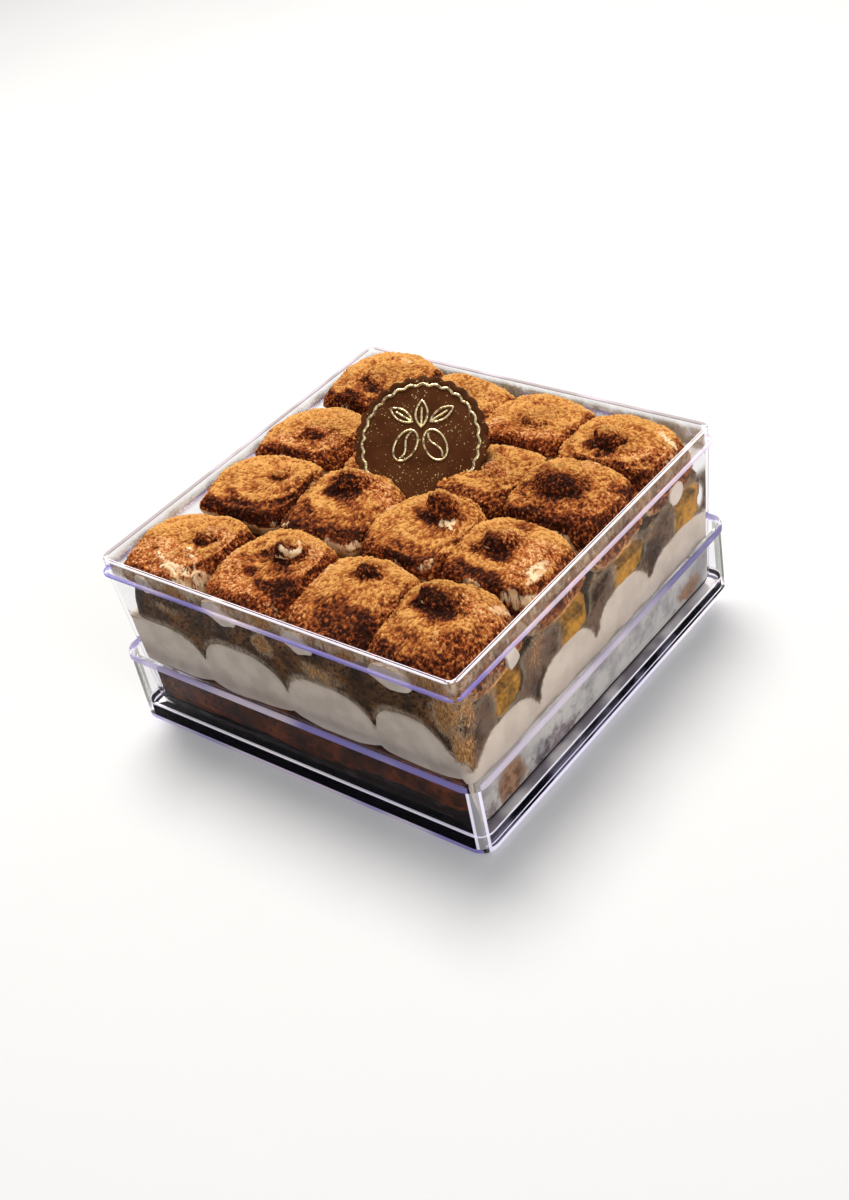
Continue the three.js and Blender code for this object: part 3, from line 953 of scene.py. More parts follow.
# A stroke of wiped, damp or rust-coloured cocoa is (reach, strength, path). Its path goes through
# spots in the camera's picture, in pixels from the upper left corner. The damp strokes are dark
# cocoa and painted shade, and a few wiped strokes bare the cream as a painted highlight.
WIPED_AND_GLINT = [
    (2.4, 0.7, [(185, 548), (190, 560)]),
    (3.4, 0.85, [(165, 565), (178, 572), (200, 575)]),
    (2.4, 0.7, [(150, 560), (155, 575)]),
    (2.8, 0.9, [(175, 580), (195, 585), (208, 578)]),
    (1.4, 0.6, [(207, 565)]),
    (1.1, 1, [(299, 541), (300, 550)]),
    (1.5, 0.95, [(285, 552), (295, 553)]),
    (2, 0.55, [(232, 580), (240, 590)]),
    (1.3, 0.9, [(249, 590)]),
    (2.4, 0.7, [(270, 605), (276, 612)]),
    (1, 0.7, [(364, 569)]),
    (0.8, 0.6, [(443, 622)]),
    (2, 0.5, [(462, 660)]),
    (1.7, 0.9, [(273, 524), (288, 524)]),
    (1.3, 0.65, [(343, 480)]),
    (2.2, 0.95, [(325, 541), (335, 547), (345, 550), (358, 545)]),
    (1.6, 1, [(441, 527), (450, 528), (455, 522)]),
    (1, 0.5, [(430, 515), (436, 520)]),
    (2.2, 0.85, [(403, 570), (420, 568), (432, 562)]),
    # Painted highlight: cream bared where a glint lies on a nub's right flank.
    (1.6, 1, [(528, 583), (537, 576), (545, 568)]),
    (1.5, 0.6, [(508, 572), (515, 570)]),
    (1, 0.9, [(562, 567)]),
    (2, 0.9, [(466, 582), (476, 585)]),
    (3.2, 0.95, [(505, 598), (520, 605), (530, 600)]),
    (3, 0.9, [(495, 610), (510, 615)]),
    (2, 0.55, [(322, 428), (330, 440), (335, 450)]),
    (1.5, 0.6, [(535, 530), (560, 532), (590, 530)]),
    (1.6, 0.9, [(372, 357)]),
    (1.5, 0.9, [(400, 359), (411, 362)]),
    (1, 0.6, [(528, 418)]),
    (2, 0.95, [(660, 433), (668, 440), (675, 447)]),
    (1.6, 0.75, [(672, 455), (665, 465)]),
    (1.5, 0.6, [(657, 447)]),
    (1.6, 0.9, [(158, 552), (168, 560), (180, 568)]),
    (2.2, 0.85, [(176, 572), (190, 585), (203, 590)]),
    (1.4, 0.9, [(190, 548), (196, 562)]),
    (1.5, 1, [(280, 548), (290, 556), (298, 552)]),
    # Painted highlight: more cream bared on the same glint.
    (1.8, 0.95, [(528, 572), (538, 566), (547, 562)]),
    (2.6, 0.9, [(508, 592), (522, 602), (538, 598)]),
    (1.2, 0.8, [(660, 428), (668, 434)]),
    (1.3, 0.85, [(672, 442), (676, 452), (672, 462)]),
    (1.5, 0.9, [(380, 356)]),
    (1.4, 0.95, [(442, 522), (452, 524)]),
]
# Dark cocoa and painted shade: these strokes darken the shaded sides of the nubs, the fronts of the
# dollops and the creases between them.
DAMP_AND_SHADE = [
    (2.6, 0.95, [(200, 540)]),
    (3.4, 0.45, [(140, 565), (165, 572)]),
    (2.1, 0.9, [(243, 553), (250, 568), (262, 585), (275, 600)]),
    (2.4, 1, [(278, 548), (277, 562), (287, 575), (290, 590)]),
    (3, 0.8, [(280, 592), (292, 598)]),
    (2.6, 0.6, [(215, 590), (235, 600), (255, 600)]),
    (1.7, 0.85, [(362, 566), (372, 570)]),
    (1.5, 0.7, [(340, 583), (352, 590), (365, 588)]),
    (1.7, 0.5, [(385, 583)]),
    (3.1, 0.85, [(337, 600), (350, 612), (362, 625)]),
    (3.9, 0.7, [(325, 612), (335, 630), (355, 640)]),
    (2.8, 0.95, [(362, 615), (368, 630), (362, 645)]),
    (2.6, 0.4, [(300, 590), (305, 605)]),
    (2.4, 1, [(418, 597), (424, 610), (436, 618)]),
    (3.1, 0.85, [(425, 592), (440, 600), (450, 615)]),
    (2.6, 0.6, [(440, 625), (455, 640)]),
    (2.6, 0.8, [(380, 648)]),
    (2.8, 0.6, [(400, 665), (420, 668)]),
    (2.6, 0.4, [(440, 660)]),
    (2.6, 0.8, [(205, 503), (222, 503), (240, 505)]),
    (2.8, 1, [(240, 505), (252, 512), (265, 520), (285, 520)]),
    (2.6, 0.8, [(225, 512), (245, 518), (262, 528)]),
    (1, 0.9, [(279, 483)]),
    (0.95, 0.6, [(270, 478)]),
    (2.1, 0.9, [(295, 505), (300, 515), (297, 525)]),
    (1.2, 0.6, [(232, 487), (238, 495)]),
    (2.8, 1, [(335, 480), (340, 492), (345, 503)]),
    (2.1, 0.8, [(352, 478), (355, 490)]),
    (2.4, 0.9, [(345, 503), (357, 508)]),
    (1.7, 0.8, [(305, 500), (310, 508)]),
    (2.6, 0.9, [(302, 505), (310, 520), (325, 527), (345, 532), (362, 536)]),
    (1.6, 1, [(415, 508), (422, 515), (432, 520)]),
    (1.9, 0.6, [(430, 500), (440, 505), (448, 512)]),
    (3.1, 0.5, [(372, 535), (390, 545), (410, 550)]),
    (2.1, 0.95, [(385, 552), (405, 560), (425, 560), (437, 556)]),
    (2.9, 1, [(487, 540), (497, 548), (505, 558)]),
    (2.2, 0.7, [(500, 540)]),
    (2.4, 0.8, [(455, 562), (470, 570), (485, 575), (500, 580)]),
    (2, 1, [(490, 582), (497, 592)]),
    (2, 0.6, [(447, 565)]),
    (2.1, 0.9, [(310, 432), (318, 436)]),
    (2.6, 0.8, [(270, 445), (290, 450), (305, 452)]),
    (2.6, 0.5, [(300, 445)]),
    (2.6, 0.6, [(497, 472)]),
    (2.1, 0.8, [(548, 472), (560, 478)]),
    (2.4, 0.8, [(545, 487), (560, 492)]),
    (2.9, 1, [(540, 498), (560, 500), (580, 500)]),
    (3.4, 0.7, [(515, 505), (530, 510), (545, 520)]),
    (3.8, 0.9, [(525, 525), (550, 525), (585, 520), (600, 525)]),
    (3.4, 0.5, [(600, 505), (610, 515)]),
    (2.9, 0.85, [(340, 400), (350, 408)]),
    (2.4, 1, [(355, 395), (370, 388), (380, 392)]),
    (2.6, 0.7, [(330, 392)]),
    (2.6, 0.6, [(490, 440), (500, 430)]),
    (2.6, 0.7, [(505, 425), (520, 430)]),
    (2.6, 0.9, [(500, 450)]),
    (2.6, 0.5, [(520, 445), (545, 465)]),
    (1.9, 1, [(597, 445), (606, 443), (612, 452)]),
    (2.1, 0.9, [(600, 455), (615, 458)]),
    (2.6, 0.8, [(615, 488), (625, 488), (640, 480)]),
    (2.6, 0.5, [(650, 478)]),
    (3, 0.7, [(318, 602), (335, 620), (352, 632)]),
    (3, 0.8, [(548, 482), (560, 478), (572, 492)]),
    (2.4, 0.8, [(348, 392), (362, 390)]),
    (2.4, 0.8, [(268, 570), (280, 585), (292, 596)]),
    (3, 0.8, [(248, 512), (270, 520), (292, 524)]),
    (2, 0.8, [(330, 492), (342, 498), (352, 504)]),
]
RUST = [
    (4, 0.9, [(137, 547), (170, 547)]),
    (4, 0.9, [(140, 560), (175, 565), (205, 570)]),
    (3.5, 0.8, [(190, 585), (225, 575)]),
    (3.5, 0.8, [(215, 530), (232, 545), (228, 560)]),
    (3.4, 0.8, [(220, 575), (245, 590), (262, 605)]),
    (4, 0.8, [(305, 553), (325, 565), (310, 580)]),
    (3, 0.7, [(245, 570), (230, 560)]),
    (4, 0.9, [(280, 440), (307, 433), (333, 440)]),
    (4, 0.9, [(287, 453), (320, 460), (342, 455)]),
    (1.6, 0.9, [(290, 477)]),
    (3.5, 0.6, [(205, 496), (203, 505)]),
    (3.5, 0.9, [(365, 475), (383, 490), (390, 505)]),
    (2, 0.9, [(450, 492), (452, 510)]),
    (4, 0.9, [(515, 540), (545, 552), (558, 560)]),
    (3, 0.8, [(530, 560), (515, 575)]),
    (3.2, 0.6, [(470, 605), (485, 620), (498, 635)]),
    (3, 0.6, [(440, 640), (470, 650)]),
    (3, 0.5, [(292, 605), (300, 620)]),
    (2.5, 0.8, [(487, 462), (500, 472)]),
    (4, 0.4, [(550, 515), (590, 515), (612, 500)]),
    (4, 0.8, [(490, 425), (520, 435), (545, 440)]),
    (3.5, 0.7, [(640, 455), (665, 455)]),
    (3, 0.5, [(590, 465), (620, 470)]),
    (3, 0.6, [(345, 400)]),
    (3, 0.5, [(490, 395)]),
]


def open_reach(spot, angle):
    """How far a dollop reaches towards each angle before it meets a neighbour or a wall."""
    x, y = spot["at"]
    way = np.stack([np.cos(angle), np.sin(angle)], axis=1)
    wall = inside_half(UPPER_TOP) + 0.6
    back = wall - (FREE_STRIP if x > FREE_STRIP_FROM else 0.0)
    reach = np.full(len(angle), MOUND_REACH + 1.0)
    for other in DOLLOPS:
        apart = np.array(other["at"], float) - (x, y)
        distance = np.linalg.norm(apart)
        if other is spot or distance > 2.5 * MOUND_REACH:
            continue
        facing = way @ (apart / distance)
        merged = ROW_MERGE if abs(apart[1]) < 8 else COLUMN_MERGE
        reach = np.minimum(reach, (distance / 2 + merged) / np.maximum(facing, 0.05))
    for axis, sign, limit in ((0, 1, wall), (0, -1, wall), (1, -1, wall), (1, 1, back)):
        toward = np.maximum(sign * way[:, axis], 0.05)
        reach = np.minimum(reach, (limit - sign * (x, y)[axis]) / toward)
    return reach


def dollop_shape(spot, seed):
    """Points of one dollop: rings from its foot to its nub, closed at both ends."""
    place = np.array(spot["at"], float)
    tip = np.array(spot["tip"], float)
    nub_foot = tip[:2] - NUB_LEAN * spot["nub"] * PULLED_TOWARD
    angle = np.linspace(0, 2 * math.pi, MOUND_AROUND, endpoint=False)
    way = np.stack([np.cos(angle), np.sin(angle)], axis=1)
    points = [np.array([[*place, DOLLOP_BOTTOM]])]
    for ring in range(MOUND_RINGS):
        level = ring / (MOUND_RINGS - 0.5)
        body = min(level / BODY_SHARE, 1.0)
        rise = max(level - BODY_SHARE, 0.0) / (1 - BODY_SHARE)
        swell = math.cos(body * math.pi / 2) ** spot["round"]
        tuck = 0.88 + 0.12 * float(smoothstep(body, 0.0, 0.3))
        flare = 1.25 - 0.25 * min(rise / 0.2, 1)
        free = spot["nub"] * flare * (1 - rise ** 2) ** 0.6
        free += (MOUND_REACH - 1.25 * spot["nub"]) * swell
        height = DOLLOP_BOTTOM + (spot["top"] - DOLLOP_BOTTOM) * math.sin(body * math.pi / 2)
        height += (tip[2] - spot["top"]) * rise
        height += spot["ridge"] * math.sin(free * 1.3) * (1 - rise)
        off = (nub_foot - place) * body ** 2 + (tip[:2] - nub_foot) * rise + free * way
        distance = np.linalg.norm(off, axis=1)
        limit = open_reach(spot, np.arctan2(off[:, 1], off[:, 0]))
        pressed = tuck * (distance ** -9.0 + limit ** -9.0) ** (-1 / 9) / distance
        across = place + off * pressed[:, None]
        points.append(np.column_stack([across, np.full(MOUND_AROUND, height)]))
    points.append(tip[None, :] + (0, 0, 0.05))
    shape = np.concatenate(points)
    for axis in range(3):
        uneven = 0.9 * wobble(shape, 9.0, seed + axis) + 0.35 * wobble(shape, 3.5, seed - axis)
        shape[:, axis] += uneven
    beside = nub_foot + PULLED_TOWARD * (1.25 * spot["nub"] + 1.0)
    hollow = {"at": beside, "reach": 0.6 * spot["nub"], "depth": spot["hollow"]}
    for dent in [*DENTS, hollow]:
        away = np.hypot(shape[:, 0] - dent["at"][0], shape[:, 1] - dent["at"][1])
        sunk = 1 - smoothstep(away, 0.2 * dent["reach"], 1.2 * dent["reach"])
        shape[:, 2] -= dent["depth"] * sunk * smoothstep(shape[:, 2], 50, 54)
    shape[:, 2] -= droop(shape[:, 0]) * (1 - smoothstep(shape[:, 2], 48, 57))
    return held_in(shape, 0.2)


def new_shape_tree(name, **sizes):
    """A geometry node tree with a geometry input, one number input for each size, and an output."""
    tree = bpy.data.node_groups.new(name, "GeometryNodeTree")
    tree.interface.new_socket("Geometry", in_out="INPUT", socket_type="NodeSocketGeometry")
    for label, value in sizes.items():
        kind = "NodeSocketInt" if isinstance(value, int) else "NodeSocketFloat"
        socket = tree.interface.new_socket(label, in_out="INPUT", socket_type=kind)
        socket.default_value = value
    tree.interface.new_socket("Geometry", in_out="OUTPUT", socket_type="NodeSocketGeometry")
    return tree, tree.nodes.new("NodeGroupInput"), tree.nodes.new("NodeGroupOutput")


def grown(piece, tree, **sizes):
    """Runs a geometry node tree on a piece and keeps the result as its plain mesh."""
    modifier = piece.modifiers.new(tree.name, "NODES")
    modifier.node_group = tree
    for item in tree.interface.items_tree:
        if item.in_out == "INPUT" and item.name in sizes:
            modifier[item.identifier] = sizes[item.name]
    depsgraph = bpy.context.evaluated_depsgraph_get()
    piece.data = bpy.data.meshes.new_from_object(piece.evaluated_get(depsgraph))
    piece.modifiers.remove(modifier)
    return piece


def stored(tree, geometry, name, value):
    return add_node(
        tree, "GeometryNodeStoreNamedAttribute",
        {"Geometry": geometry, "Name": name, "Value": value}, data_type="FLOAT", domain="POINT",
    ).outputs[0]


def named(tree, name):
    return add_node(
        tree, "GeometryNodeInputNamedAttribute", {"Name": name}, data_type="FLOAT"
    ).outputs["Attribute"]


def cocoa_coat_tree(material):
    """Smooths a dollop, heaps lumps and grains of cocoa on it and stores where they lie, how each
    point faces the painted light and how deep it lies in a crease, for painted light and shade.
    """
    tree, given, result = new_shape_tree(
        "cocoa_coat", Level=2, Lump=4.0, Lump_Depth=0.2, Grain=1.0, Grain_Depth=0.6,
        Blur=8, Seed=0.0,
    )
    place = tree.nodes.new("GeometryNodeInputPosition").outputs[0]
    normal = tree.nodes.new("GeometryNodeInputNormal").outputs[0]
    up = add_node(tree, "ShaderNodeSeparateXYZ", {0: normal}).outputs["Z"]

    def vector_calc(operation, a, b):
        return add_node(tree, "ShaderNodeVectorMath", {0: a, 1: b}, operation=operation)

    # Painted shade: how far each point lies inside its blurred neighbours, which darkens the cocoa
    # in creases.
    blurred = add_node(tree, "GeometryNodeBlurAttribute", data_type="FLOAT_VECTOR")
    tree.links.new(given.outputs["Blur"], blurred.inputs["Iterations"])
    tree.links.new(place, [i for i in blurred.inputs if i.name == "Value" and i.enabled][0])
    around = [o for o in blurred.outputs if o.enabled][0]
    inward = vector_calc("SUBTRACT", around, place).outputs[0]
    crease_shade = calc(tree, "DIVIDE", vector_calc("DOT_PRODUCT", inward, normal).outputs["Value"], MM)
    creased = stored(tree, given.outputs["Geometry"], "crease_shade", crease_shade)
    smooth = add_node(
        tree, "GeometryNodeSubdivisionSurface",
        {"Mesh": creased, "Level": given.outputs["Level"]},
    )
    shift = add_node(
        tree, "ShaderNodeCombineXYZ", {0: given.outputs["Seed"], 1: given.outputs["Seed"]},
    ).outputs[0]
    moved = vector_calc("ADD", place, shift).outputs[0]

    def lumps(where, size, detail, roughness, curl):
        scale = calc(tree, "DIVIDE", 1 / MM, given.outputs[size])
        return add_node(
            tree, "ShaderNodeTexNoise",
            {"Vector": where, "Scale": scale, "Detail": detail, "Roughness": roughness,
             "Distortion": curl},
        ).outputs["Fac"]

    coarse = lumps(moved, "Lump", 2.0, 0.5, 0.3)
    clods = add_node(
        tree, "ShaderNodeTexVoronoi",
        {"Vector": moved,
         "Scale": calc(tree, "DIVIDE", 1 / MM, given.outputs["Grain"]), "Randomness": 1.0},
    ).outputs["Distance"]
    ragged = lumps(moved, "Grain", 4.0, 0.65, 1.1)
    fine = minus(tree, times(tree, ragged, 2.6), times(tree, clods, 0.9))
    fine = minus(tree, fine, 0.4, True)
    inner = add_node(tree, "ShaderNodeSeparateXYZ", {0: place})
    reach = calc(
        tree, "MAXIMUM", calc(tree, "ABSOLUTE", inner.outputs["X"]),
        calc(tree, "ABSOLUTE", inner.outputs["Y"]),
    )
    facing = plus(tree, up, times(tree, minus(tree, ragged, 0.5), 0.6))
    by_wall = fade(tree, reach, 57.5 * MM, 55.5 * MM)
    bare = times(tree, fade(tree, facing, 0.2, -0.02), by_wall)
    coat = minus(tree, 1.0, calc(tree, "MAXIMUM", bare, named(tree, "wiped_and_glint")), True)
    lump_depth = times(tree, given.outputs["Lump_Depth"], 4 * MM)
    grain_depth = times(tree, given.outputs["Grain_Depth"], MM)
    lump_rise = times(tree, minus(tree, coarse, 0.5), lump_depth)
    grain_rise = times(tree, times(tree, minus(tree, fine, 0.5), coat), grain_depth)
    rise = add_node(
        tree, "ShaderNodeVectorMath",
        {0: normal, "Scale": plus(tree, lump_rise, grain_rise)}, operation="SCALE",
    ).outputs[0]
    # Painted light: how much each point faces the painted light, kept for the cocoa's colour.
    painted_light_facing = vector_calc("DOT_PRODUCT", normal, PAINTED_LIGHT_FROM).outputs["Value"]
    marked = smooth.outputs[0]
    for name, value in (("coat", coat), ("painted_light_facing", painted_light_facing), ("grain", fine)):
        marked = stored(tree, marked, name, value)
    heaped = add_node(tree, "GeometryNodeSetPosition", {"Geometry": marked, "Offset": rise})
    shaded = add_node(
        tree, "GeometryNodeSetShadeSmooth", {"Geometry": heaped.outputs[0], "Shade Smooth": True}
    )
    whole = add_node(tree, "GeometryNodeRealizeInstances", {"Geometry": shaded.outputs[0]})
    finished = add_node(
        tree, "GeometryNodeSetMaterial", {"Geometry": whole.outputs[0], "Material": material}
    )
    tree.links.new(finished.outputs[0], result.inputs[0])
    return tree


# Both ramps run from painted shade to painted light: near black for pits, creases and faces turned
# from the light, tan or pale rust for faces turned to it.
COCOA_TONES = [
    (0.0, (0.03, 0.007, 0.003)), (0.2, (0.078, 0.017, 0.006)), (0.4, (0.2, 0.044, 0.011)),
    (0.6, (0.36, 0.097, 0.021)), (0.8, (0.53, 0.2, 0.046)), (1.0, (0.76, 0.385, 0.108)),
]
RUST_TONES = [
    (0.0, (0.04, 0.008, 0.003)), (0.25, (0.15, 0.027, 0.007)), (0.5, (0.36, 0.08, 0.016)),
    (0.75, (0.6, 0.2, 0.046)), (1.0, (0.86, 0.51, 0.23)),
]


def cocoa_tone(tree, where):
    """Cocoa powder, with painted light and shade in its colour: tan on faces turned to the painted
    light; rust with pale streaks where it is thin along the rust strokes, and as painted shade on
    faces turned from the light; darker in pits and creases as painted shade; and near black along
    the damp strokes, which are dark cocoa and painted shade."""
    speck = minus(tree, grain(tree, where, 0.58, detail=3.0, roughness=0.68, curl=1.0), 0.5)
    clump = minus(tree, grain(tree, where, 1.5, detail=2.0, curl=1.0), 0.5)
    patch = minus(tree, grain(tree, where, 6.0, detail=2.0), 0.5)
    relief = minus(tree, mask(tree, "grain"), 0.5)
    lit = fade(tree, mask(tree, "painted_light_facing"), 0.26, 0.98)
    unlit = minus(tree, 1.0, lit)
    brushed = stretched(tree, where, (1.0, 1.0, 0.22))
    streak = minus(tree, grain(tree, brushed, 0.8, detail=2.0, roughness=0.6), 0.5)
    damp_and_shade = plus(tree, mask(tree, "damp_and_shade"), times(tree, patch, 0.9))
    damp_and_shade = fade(tree, plus(tree, damp_and_shade, times(tree, speck, 0.8)), 0.15, 0.95)
    uneven = plus(tree, times(tree, unlit, 0.3), times(tree, damp_and_shade, 0.1))
    rough = plus(tree, 0.7, uneven)
    tone = plus(tree, 0.22, times(tree, lit, 0.73))
    # Painted light and shade: faces turned to the light lighter, faces turned away rougher and
    # streaked, pits darker through the relief, creases and dark strokes darker still.
    for amount, weight in (
        (relief, rough), (speck, 1.05), (clump, 0.6), (times(tree, streak, unlit), 0.9),
        (patch, 0.45), (damp_and_shade, -0.42), (mask(tree, "crease_shade"), -0.26),
    ):
        tone = plus(tree, tone, times(tree, amount, weight))
    brown_tone = ramped(tree, calc(tree, "MAXIMUM", tone, 0.0, True), COCOA_TONES)
    thin = times(tree, plus(tree, streak, speck), 1.1)
    thin = plus(tree, times(tree, tone, 0.75), plus(tree, thin, 0.13), True)
    rusty = plus(tree, mask(tree, "rust"), times(tree, patch, 1.2))
    rusty = plus(tree, rusty, times(tree, fade(tree, unlit, 0.5, 1.0), 0.42))
    rusty = fade(tree, plus(tree, rusty, times(tree, streak, 0.8)), 0.1, 0.75)
    return blended(tree, rusty, brown_tone, ramped(tree, thin, RUST_TONES)), speck, relief


def dusted_finish():
    """Cream under a coat of cocoa. The coat's thickness and relief come with the mesh."""
    material, tree, shader = new_finish("dusted_cream")
    where = object_place(tree)
    cocoa, speck, relief = cocoa_tone(tree, where)
    marble = grain(tree, where, 2.5, detail=2.0)
    cream = blended(tree, fade(tree, marble, 0.3, 0.7), (0.62, 0.36, 0.17), (0.9, 0.7, 0.45))
    run = grain(tree, stretched(tree, where, (1.0, 1.0, 0.18)), 0.8, detail=3.0, roughness=0.65)
    cover = plus(tree, mask(tree, "coat"), times(tree, run, 1.2))
    cover = fade(tree, cover, 0.65, 0.92)
    height = plus(tree, speck, times(tree, relief, 0.6))
    set_sockets(tree, shader, {
        "Base Color": blended(tree, cover, cream, cocoa),
        "Roughness": fade(tree, cover, 0.0, 1.0, 0.5, 0.95),
        "Normal": bumped(tree, times(tree, height, cover), 0.55),
        "Specular IOR Level": 0.15,
    })
    return material


def seen_at(spot, skins):
    """The place in millimetres where the camera sees the dollops at a spot of its picture."""
    middle = (PICTURE_WIDTH / 2, PICTURE_HEIGHT / 2)
    across, down = np.subtract(spot, middle) / PICTURE_HEIGHT * CAMERA_SENSOR / CAMERA_LENS
    way = (camera_turn.to_matrix() @ Vector((across, -down, -1.0))).normalized()
    hits = [skin.ray_cast(CAMERA_PLACE, way) for skin in skins]
    place, _, _, _ = min((hit for hit in hits if hit[0]), key=lambda hit: hit[3])
    return np.array(place)


def painted(points, strokes):
    """From 0 to 1 how much of the strokes lies on each point. Their paths are in millimetres."""
    share = np.zeros(len(points))
    for reach, strength, path in strokes:
        for start, end in zip(path, path[1:] or path):
            step = end - start
            t = np.clip((points - start) @ step / max(step @ step, 1e-9), 0, 1)
            away = np.linalg.norm(points - start - t[:, None] * step, axis=1)
            share = np.maximum(share, strength * (1 - smoothstep(away, 0.2 * reach, 1.4 * reach)))
    return share


shapes = [dollop_shape(spot, 40 + 3 * index) for index, spot in enumerate(DOLLOPS)]
dollop_faces = capped_tube(MOUND_RINGS, MOUND_AROUND)
skins = [BVHTree.FromPolygons(shape.tolist(), dollop_faces) for shape in shapes]
strokes = {
    name: [(reach, strength, [seen_at(spot, skins) for spot in path])
           for reach, strength, path in drawn_strokes]
    for name, drawn_strokes in (("wiped_and_glint", WIPED_AND_GLINT), ("damp_and_shade", DAMP_AND_SHADE), ("rust", RUST))
}
dusted = dusted_finish()
coat_tree = cocoa_coat_tree(dusted)
for index, shape in enumerate(shapes):
    row, column = index // COUNT + 1, index % COUNT + 1
    dollop = made(
        f"cocoa_dollop_{row}_{column}", (shape, dollop_faces), [dusted],
        [f"dollop_{row}_{column}"],
    )
    for name in strokes:
        set_mask(dollop, name, painted(shape, strokes[name]))
    grown(dollop, coat_tree, Seed=0.05 * index)


# ---- Cocoa, cream and haze on the clear walls ----------------------------------------------
# Cocoa dust clings to the inside of the box, thickest round the neck and in the front corner,
# with a few smears of cream pressed flat against the walls. A thin greasy haze veils the rest.
# Low on the side wall a milky grey veil is a painted reflection, and grey-brown smudges over
# the upper sponge there are partly painted shade.
FILM_REACH = 0.3
FILM_THICK = 0.06
FILM_BOTTOM = 5.8
FILM_ROWS = 46
FILM_SIDE_STEPS = 96
HAZE = {
    "front": {"neck": 0.62, "below": 0.0, "from": 49.5},
    "side": {"neck": 0.4, "below": 0.03, "from": 49.5},
    "back": {"neck": 0.75, "below": 0.03, "from": 46.0},
    "left": {"neck": 0.5, "below": 0.03, "from": 49.5},
}
DUST_MARKS = table(
    "wall at half dust",
    ("front", (54.5, 44.0), (5.0, 12.0), 0.8),
    ("front", (56.5, 33.0), (3.0, 9.0), 0.85),
    ("side", (-55.5, 43.0), (3.5, 12.0), 0.62),
    ("side", (-56.5, 32.0), (2.5, 9.0), 0.8),
    ("front", (-4.0, 44.0), (4.5, 5.0), 0.75),
    ("front", (14.0, 41.0), (7.0, 3.5), 0.75),
    ("front", (26.0, 51.0), (5.0, 3.5), 0.8),
    ("front", (-2.0, 52.5), (6.0, 3.0), 0.75),
    ("front", (-33.0, 51.5), (6.0, 3.5), 0.7),
    ("front", (-40.0, 44.5), (7.0, 2.0), 0.5),
    ("front", (50.5, 52.0), (6.0, 4.0), 0.8),
    ("side", (-27.0, 42.0), (6.0, 8.0), 0.45),
    ("side", (1.0, 42.0), (5.5, 7.0), 0.4),
    ("side", (28.0, 42.0), (6.0, 6.0), 0.35),
    ("side", (-46.0, 45.5), (8.0, 3.0), 0.5),
)
CREAM_SMEARS = table(
    "wall at half tilt",
    ("front", (-18.2, 49.6), (5.8, 3.4), -18),
    ("front", (9.0, 49.4), (4.8, 3.6), -12),
    ("front", (38.8, 49.2), (7.0, 3.8), -6),
    ("front", (-45.0, 50.6), (3.2, 2.4), -10),
    ("side", (-36.5, 46.0), (2.4, 3.6), 30),
    ("side", (41.0, 44.5), (3.4, 3.4), 25),
)
# The milky grey veil on the side wall, a painted reflection: how high it reaches and how opaque it
# is.
PAINTED_VEIL_TOP = 21.5
PAINTED_VEIL_SHARE = 0.97
# Grey-brown smudges over the upper sponge, partly painted shade, reach up to this height.
SMUDGE_AND_SHADE_TOP = 45.0
SOAKED_PATCHES = table(
    "at half share",
    ((-43.5, 10.5), (8.5, 7.5), 1.4),
    ((44.5, 9.0), (10.0, 5.5), 0.9),
)
MURKY_PATCHES = table(
    "at half share",
    ((-21.0, 6.0), (12.0, 8.0), 0.9),
    ((-32.0, 6.0), (5.0, 6.0), 0.8),
    ((-52.0, 7.0), (6.0, 5.0), 0.6),
)
WALL_WAY = {"front": (0, -1), "side": (1, 0)}
SMEAR_RINGS = 14
SMEAR_AROUND = 40
SMEAR_THICK = 1.6


def wall_of(points):
    """The wall each point lies on, and how far along that wall it is."""
    x, y = points[:, 0], points[:, 1]
    end_wall = np.abs(x) > np.abs(y)
    ends, others = np.where(x > 0, "side", "left"), np.where(y > 0, "back", "front")
    return np.where(end_wall, ends, others), np.where(end_wall, y, x)


def film_shell():
    """A closed thin sheet all round the inside of the walls."""
    heights = np.linspace(FILM_BOTTOM, BOX_TOP - 0.5, FILM_ROWS)
    steps = np.linspace(-1, 1, FILM_SIDE_STEPS, endpoint=False)
    one = np.ones_like(steps)
    sides = [(steps, -one), (one, steps), (-steps, one), (-one, -steps)]
    ring = np.concatenate([np.column_stack(side) for side in sides])
    layers = []
    for reach in (FILM_REACH, FILM_REACH + FILM_THICK):
        rows = [
            np.column_stack([ring * (inside_half(z) + reach), np.full(len(ring), z)])
            for z in (heights if reach > FILM_REACH else heights[::-1])
        ]
        layers.append(held_in(np.concatenate(rows), reach))
    return np.concatenate(layers[::-1]), ring_faces(2 * FILM_ROWS, len(ring), closed=True)


